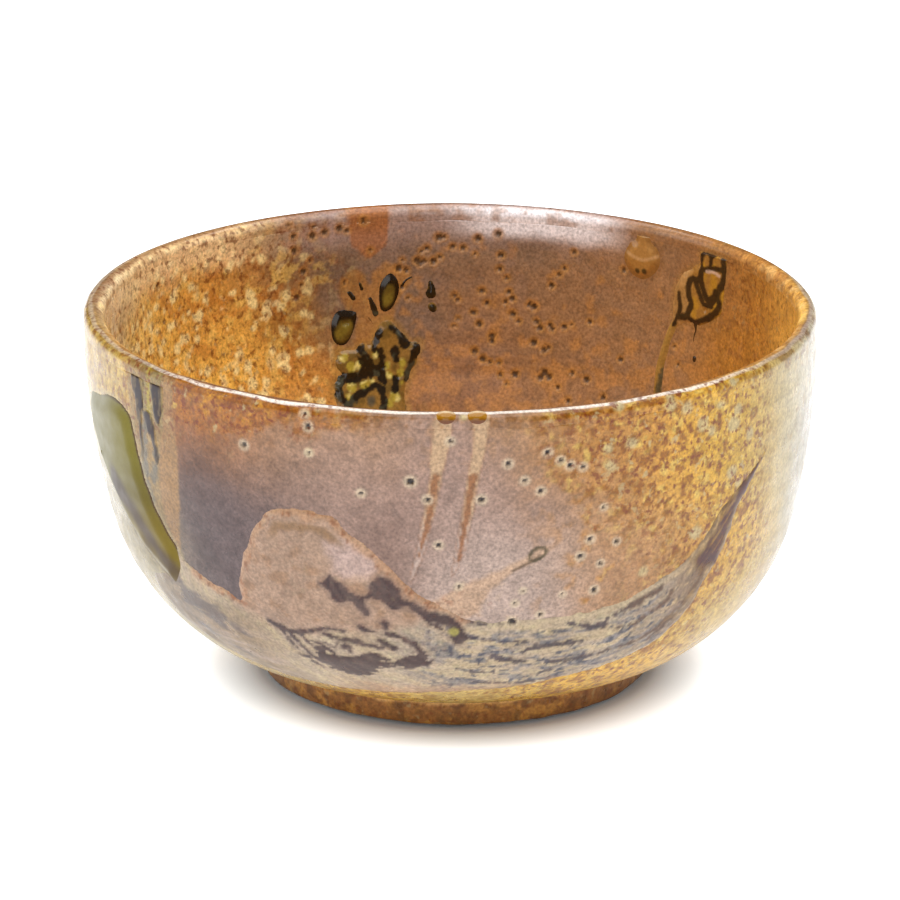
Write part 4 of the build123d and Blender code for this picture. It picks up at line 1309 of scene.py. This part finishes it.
RIM_CENTRE_R, RIM_CENTRE_Z = RIM_RADIUS - LIP_RADIUS, HEIGHT - LIP_RADIUS
RIM_LOW_Z = RIM_SEAM_Z - 1.2  # the rim's section starts a little below the seam
RIM_MARGIN = 0.75  # how far the rim coat stops short of the ends of that section
RIM = Section(
    [(RIM_RADIUS, z) for z in np.linspace(RIM_LOW_Z, RIM_CENTRE_Z, 12)[:-1]]
    + arc((RIM_CENTRE_R, RIM_CENTRE_Z), LIP_RADIUS, 0, 180, 60)
    + [(RIM_RADIUS - 2 * LIP_RADIUS, z) for z in np.linspace(RIM_CENTRE_Z, RIM_LOW_Z, 12)[1:]])
LIP_HIGHLIGHT = 0.43  # where the painted highlight line runs, as a share of the way across the rim coat


def paint_rim(outside, inside, across):
    """Rim glaze: it carries on the tones of each wall, is thin and brown on the crest, and has a
    painted highlight line on the lip's outer shoulder, brightest at the front.
    """
    outer, inner = paint_outer(outside), paint_inner(inside)
    share = step(across, 0.4, 0.56)
    colour = over(outer["tone"], share, inner["tone"])
    spots = outside.noise(1.4, 301, 2)
    gold = golden(colour)
    colour = over(colour, (0.55 - 0.25 * gold) * step(spots, 0.0, -0.4), CHESTNUT)
    ends = step(np.abs(outside.turned), 40, 60) * step(np.abs(outside.turned), 125, 105)
    colour = over(colour, 0.3 * gold * ends * step(spots, -0.2, 0.4), (240, 206, 144))
    crest = step(np.abs(across - 0.5 + 0.05 * outside.noise(4, 303, 2)), 0.2, 0.06)
    colour = over(colour, 0.75 * crest * (1 - 0.85 * golden(colour)), (122, 80, 52))
    # Painted highlight: a near-white line along the lip's outer shoulder, brightest on the front.
    thin = step(np.abs(across - LIP_HIGHLIGHT + 0.012 * outside.noise(5, 304, 2)), 0.07, 0.03)
    front = step(np.abs(outside.turned), 62, 34)
    colour = over(colour, 0.9 * thin * (0.3 + 0.7 * front), (255, 242, 228))
    colour = over(colour, step(outside.spots(LIP_SPOTS), 0.4, -0.3), CREAM)
    fleck = outer["fleck"] + share * (inner["fleck"] - outer["fleck"])
    return painted(colour, fleck, 0.3 - 0.2 * crest)


def build_rim_glaze():
    """The rim coat, dipped over the lip with a slightly wandering lower edge on both sides."""
    angles = columns(centre=0, half_width=78, fine=0.4, coarse=0.7)
    wander = 0.45 * noise(place(angles, RIM_RADIUS, 0), 7, 300, 3)
    across = np.linspace(0, 1, 40)[:, None]
    start, end = RIM_MARGIN + wander, RIM.length - RIM_MARGIN + 0.5 * wander
    s = start + across * (end - start)
    outside = Wall(RIM, angles, s, OUTER, OUTER.s_at_height(RIM_LOW_Z) + s)
    inside = Wall(RIM, angles, s, INNER, INNER.s_at_height(RIM_LOW_Z) + RIM.length - s)
    edge = np.minimum(across, 1 - across) * RIM.length
    share = step(across, 0.35, 0.65)
    lift = (1 - share) * outer_lift(outside) + share * inner_lift(inside)
    lift = lift + 0.015 * step(edge, 0.1, 1.2) - 0.12 * step(edge, 0.12, 0.0)
    piece = shell("rim_glaze_skin", outside, lift, lit(paint_rim(outside, inside, across), share),
                  depth=THIN_GLAZE, back_rows=12)
    finished(piece, glazed("rim_glaze", bump=0.02), "rim_glaze", "rim_glaze")


FOOT_TOP_R, TREAD_R = radius_of("foot_glaze"), radius_of("foot_ring")
FOOT_START_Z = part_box("foot_glaze")[0].z / MM
FOOT_LEAN, WELL_LEAN = 0.14, 0.17  # how far its two sides lean for each unit of height
WELL_BEND = 1.2  # radius of the coat's bend from the recess down the foot ring's inner side
WELL_R, WELL_START_Z = radius_of("foot_well_glaze"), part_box("foot_well_glaze")[0].z / MM


def paint_foot(wall):
    """Dark iron brown, freckled with ochre, that lightens to gold where it meets the wall."""
    colour = mottled(wall, tone(124, 80, 36), 311)
    colour = over(colour, 0.6 * wall.cloud(2.2, 312, 3, 0.05, 0.5), (166, 116, 50))
    colour = over(colour, 0.65 * wall.cloud(1.3, 313, 3, 0.1, 0.5), (84, 52, 22))
    top = step(wall.z + 0.6 * wall.noise(4, 314, 2), FOOT_TOP_Z - 0.9, FOOT_TOP_Z)
    colour = over(colour, 0.8 * top, (196, 150, 90))
    return painted(colour, 0.6, 0.3)


def build_foot_glaze():
    """Coat outside the foot ring, with an uneven lower edge above the bare tread."""
    angles = np.arange(-180, 180, 0.6)
    heights = np.linspace(0, FOOT_TOP_Z, 30)
    points = [(FOOT_TOP_R + (z - FOOT_TOP_Z) * FOOT_LEAN, z) for z in heights]
    section = Section(points)
    start = FOOT_START_Z + 0.25 * (1 + noise(place(angles, TREAD_R, 0), 6, 310, 3))
    share = np.linspace(0, 1, 22)[:, None]
    wall = Wall(section, angles, start + share * (section.length - start))
    lift = -0.1 * step(share, 0.12, 0) + 0.08 * wall.noise(5, 315, 2)
    piece = shell("foot_glaze_skin", wall, lift, lit(paint_foot(wall), 1), THIN_GLAZE, 6)
    finished(piece, glazed("foot_glaze"), "foot_glaze", "foot_glaze")


def build_foot_well():
    """Coat inside the foot ring: down its inner side and across the recess."""
    angles = np.arange(-180, 180, 1.0)
    corner = WELL_R - 1.0
    points = [(r, FOOT_TOP_Z - THIN_GLAZE) for r in np.linspace(HUB_R, corner - WELL_BEND, 30)]
    bend_z = FOOT_TOP_Z - (THIN_GLAZE + WELL_BEND)
    points += arc((corner - WELL_BEND, bend_z), WELL_BEND, 90, 5, 12)[1:]
    points += [(corner + (FOOT_TOP_Z - 1.5 - z) * WELL_LEAN, z)
               for z in np.linspace(FOOT_TOP_Z - 1.7, WELL_START_Z, 12)]
    section = Section(points)
    s = np.linspace(0, section.length, 60)
    wall = Wall(section, angles, s[:, None])
    ripple = 0.06 * np.sin(wall.r * 0.9 + np.radians(wall.angle))
    paint = paint_foot(wall)
    paint["tone"] = over(paint["tone"], 0.5 * wall.cloud(9, 320, 3, -0.2, 0.5), OCHRE)
    piece = shell("foot_well_skin", wall, -ripple, lit(paint, 1), -THIN_GLAZE, floored=True)
    finished(piece, glazed("foot_well_glaze"), "foot_glaze", "foot_well_glaze")


def sunk(section, depth):
    """The points of a wall's section below the lip, moved in under its coat."""
    below = section.z < RIM_CENTRE_Z
    return list(zip((section.r - section.nr * depth)[below],
                    (section.z - section.nz * depth)[below]))


def build_clay():
    """The clay under the coats, from its flat underside to its lip."""
    depth = GLAZE - 0.03
    points = [(r, FOOT_TOP_Z) for r in np.linspace(HUB_R, OUTER.r[0] - depth, 20)]
    points += sunk(OUTER, depth)[4::6]
    points += arc((RIM_CENTRE_R, RIM_CENTRE_Z), LIP_RADIUS - depth, 0, 180, 14)
    points += sunk(INNER, depth)[::-6]
    r, z = np.array(points).T
    angles = np.arange(-180, 180, 2.0)
    verts = place(angles[None, :], r[:, None], z[:, None]).reshape(-1, 3)
    verts = np.concatenate([verts, [[0, 0, z[0]], [0, 0, z[-1]]]])
    cols, rows = len(angles), len(points)
    first = np.arange(cols)
    ends = [fan(rows * cols, first[::-1]), fan(rows * cols + 1, first + (rows - 1) * cols)]
    faces = np.concatenate([ring_faces(rows, cols, False), *ends])
    bare = painted(np.broadcast_to(TAN, verts.shape), polish=1.0)
    piece = make_object("clay_body", verts, faces, bare)
    finished(piece, CLAY, "stoneware_clay", "clay_bowl")


# ---- poured, pooled and run glazes ---------------------------------------------------------
def slip_shape(wall):
    return wall.inside(SLIP_OUTLINE, 0.35 * wall.noise(2.0, 28, 3))


def slip_profile(distance, wall):
    """Thin at its edges, thicker on the hill and in the dark brush strokes."""
    hill = 0.18 * step(-wall.inside(HILL_OUTLINE), -1, 3)
    strokes = ink_shape(wall)
    rise = 0.14 + hill + 0.1 * step(-strokes, -0.2, 0.8)
    return rise * step(-distance, -0.15, 1.0) - 0.22 * step(distance, -0.1, 0.35)


def iron_shape(wall):
    return wall.inside_any([*IRON_STREAKS, RIGHT_TIP], 0.35 * wall.streaks(0.7, 3, 56, 2))


LIP_HIGHLIGHT_S = RIM_MARGIN + LIP_HIGHLIGHT * (RIM.length - 2 * RIM_MARGIN)  # where the painted highlight line runs on that section
DRIP_S = LIP_HIGHLIGHT_S - 0.6  # the middle of each drip


def drip_shape(wall):
    """Two half-round drips on the outer curve of the lip."""
    best = np.full(wall.x.shape, FAR)
    for angle, half in RIM_DRIPS:
        best = np.minimum(best, np.hypot(wall.x - angle * UNROLLED, wall.s - DRIP_S) - half)
    return best


def drip_lift(wall):
    """The drips sit on the lip with no ripples of their own."""
    return np.full(wall.s.shape, 0.05)


def paint_drips(wall):
    colour = over((184, 134, 66), step(wall.s, DRIP_S - 0.2, DRIP_S - 1.1), (128, 88, 34))
    # Painted highlight: the lip's highlight line carried across the drips.
    colour = over(colour, 0.75 * step(np.abs(wall.s - LIP_HIGHLIGHT_S), 0.4, 0.2), (252, 228, 190))
    return painted(colour)


def within(outline):
    """The shape of a lens that fills an outline."""
    return lambda wall: wall.inside(outline)


UNDER_LIP_Z = RIM_SEAM_Z + 0.2  # how high the lenses that reach the rim coat go on beneath it

# Lenses: name, wall, window, spacing of points, shape, profile, painter, settings of the
# material, its name, and the frame's node. The window is two angles and two heights, or two
# distances along the rim's section.
RELIEFS = [
    ("poured_slip_relief", OUTER, (-64, 58, 9.5, 51), 0.36, slip_shape, slip_profile,
     paint_slip, {"mottle": 0.26}, "poured_slip", "poured_slip"),
    ("green_pool_relief", OUTER, (-80, -47, 23, 58.5), 0.3, within(POOL_OUTLINE),
     mounded(0.7, 3.0), paint_pool, {"mottle": 0.05, "bump": 0.01, "gloss": 0.14},
     "green_glass_glaze", "green_glaze_pool"),
    ("iron_streak_relief", OUTER, (-60, 60, 30, UNDER_LIP_Z), 0.3, iron_shape, mounded(0.1, 0.7),
     paint_iron, {}, "iron_pigment", "iron_streaks"),
    ("rim_drip_relief", RIM, (-4, 8, DRIP_S - 2, DRIP_S + 2), 0.12, drip_shape, mounded(0.3, 0.9),
     paint_drips, {"mottle": 0.08, "bump": 0.01}, "rim_drip_glaze", "rim_drips"),
    ("inner_run_left_relief", INNER, (181.5, 205, 25, 56), 0.22, left_run_shape, mounded(0.4, 1.2),
     paint_left_run, {"mottle": 0.2, "bump": 0.01}, "dark_run_glaze", "inner_run_left"),
    ("inner_run_right_relief", INNER, (122, 142, 32, UNDER_LIP_Z), 0.22, right_run_shape,
     mounded(0.4, 1.2), paint_right_run, {"mottle": 0.2, "bump": 0.01}, "dark_run_glaze",
     "inner_run_right"),
    ("inner_drop_relief", INNER, (138, 150, 52, UNDER_LIP_Z), 0.18, within(DROP_OUTLINE),
     mounded(0.5, 1.6), paint_drop, {"mottle": 0.15, "bump": 0.01}, "drop_glaze", "inner_drop"),
]
SHARED_SLOTS = {"rim_drip_glaze": "rim_glaze"}  # the name given for the drips' slot is the rim coat's


def build_reliefs():
    """Every lens. The two dark runs inside share one material."""
    materials = {}
    lifts = {OUTER: outer_lift, INNER: inner_lift, RIM: drip_lift}
    for (name, section, window, pitch, shape, profile, painter, settings, glaze, node) in RELIEFS:
        if section is not RIM:
            window = (*window[:2], *section.s_at_height(window[2:]))
        made = relief(name, section, window, pitch, shape, profile, lifts[section], painter)
        if glaze not in materials:
            materials[glaze] = glazed(glaze, **settings)
        finished(made, materials[glaze], SHARED_SLOTS.get(glaze, glaze), node)


# ---- stage, light and camera ---------------------------------------------------------------
FLOOR_DROP = -0.05 * MM  # just clear of the tread
SHADOW_RING_WIDTH, FLOOR_GLOW = 11.0, 0.85  # how far past the foot the painted shadow ring reaches, and how bright the floor's painted glow is beyond it


def build_stage():
    """A plain pale floor just under the foot with a painted glow, which fades out under the bowl
    into a painted shadow round the foot.
    """
    corners = [(-3, -3), (3, -3), (3, 3), (-3, 3)]
    mesh = bpy.data.meshes.new("floor")
    mesh.from_pydata([(x, y, FLOOR_DROP) for x, y in corners], [], [(0, 1, 2, 3)])
    floor = new_object("floor", mesh)
    material, tree, shader = new_nodes("pale_floor")
    cloud = ranged(tree, grain(tree, 3), 0.3, 0.7, 0, 1)
    paper = mixed(tree, cloud, np.array([0.83, 0.87, 0.93]), np.array([0.85, 0.89, 0.95]))
    tree.links.new(paper, shader.inputs["Base Color"])
    shader.inputs["Roughness"].default_value = 0.85
    shader.inputs["Emission Color"].default_value = (1, 1, 1, 1)
    middle = tree.nodes.new("ShaderNodeVectorMath")
    middle.operation = "LENGTH"
    tree.links.new(tree.nodes.new("ShaderNodeTexCoord").outputs["Object"], middle.inputs[0])
    dark_to, lit_from = FOOT_TOP_R * MM, (FOOT_TOP_R + SHADOW_RING_WIDTH) * MM
    # Painted glow: none at the foot, full beyond the painted shadow ring.
    glow = ranged(tree, middle.outputs["Value"], dark_to, lit_from, 0, FLOOR_GLOW)
    tree.links.new(glow, shader.inputs["Emission Strength"])
    mesh.materials.append(material)


def area_light(name, place_at, target, size, power):
    data = bpy.data.lights.new(name, "AREA")
    data.shape, data.size, data.energy = "SQUARE", size, power
    lamp = new_object(name, data)
    lamp.location = place_at
    lamp.rotation_mode = "QUATERNION"
    lamp.rotation_quaternion = (Vector(target) - Vector(place_at)).to_track_quat("-Z", "Y")


def build_light():
    world = bpy.data.worlds.new("studio")
    world.use_nodes = True
    world.node_tree.nodes["Background"].inputs["Color"].default_value = (1, 1, 1, 1)
    world.node_tree.nodes["Background"].inputs["Strength"].default_value = 0.15
    bpy.context.scene.world = world
    area_light("overhead", (0.0, 0.0, 1.4), (0, 0, 0), 2.0, 46.0)
    area_light("front_card", (-0.1, -1.2, 0.3), (0, 0, 0.05), 0.8, 5.0)
    area_light("left_side", (-0.9, -0.1, 0.4), (0, 0, 0.02), 0.7, 3.5)
    area_light("right_side", (0.9, -0.1, 0.4), (0, 0, 0.02), 0.7, 2.0)
    bpy.context.scene.view_settings.view_transform = "Standard"


CAMERA_PLACE = Vector((-0.0006, -0.8972, 0.3369))
RIM_CENTRE = Vector((-LEAN * HEIGHT * MM, 0, HEIGHT * MM))
AIM_BELOW, ROLL = math.radians(1.55), math.radians(0.24)


def build_camera():
    data = bpy.data.cameras.new("camera")
    data.sensor_width, data.lens = 36.0, 219.66
    data.clip_start, data.clip_end = 0.05, 20.0
    camera = new_object("camera", data)
    camera.location = CAMERA_PLACE
    camera.rotation_mode = "QUATERNION"
    look = (RIM_CENTRE - CAMERA_PLACE).to_track_quat("-Z", "Y")
    down = Matrix.Rotation(-AIM_BELOW, 4, "X").to_quaternion()
    camera.rotation_quaternion = look @ down @ Matrix.Rotation(ROLL, 4, "Z").to_quaternion()
    bpy.context.scene.camera = camera


# ---- the bowl ------------------------------------------------------------------------------
CLAY = raw_clay("stoneware_clay")
foot_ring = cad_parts["foot_ring"]
foot_ring.data.materials.clear()
foot_ring.data.materials.append(CLAY)

build_clay()
build_outer_glaze()
build_inner_glaze()
build_rim_glaze()
build_foot_glaze()
build_foot_well()
build_reliefs()
build_stage()
build_light()
build_camera()
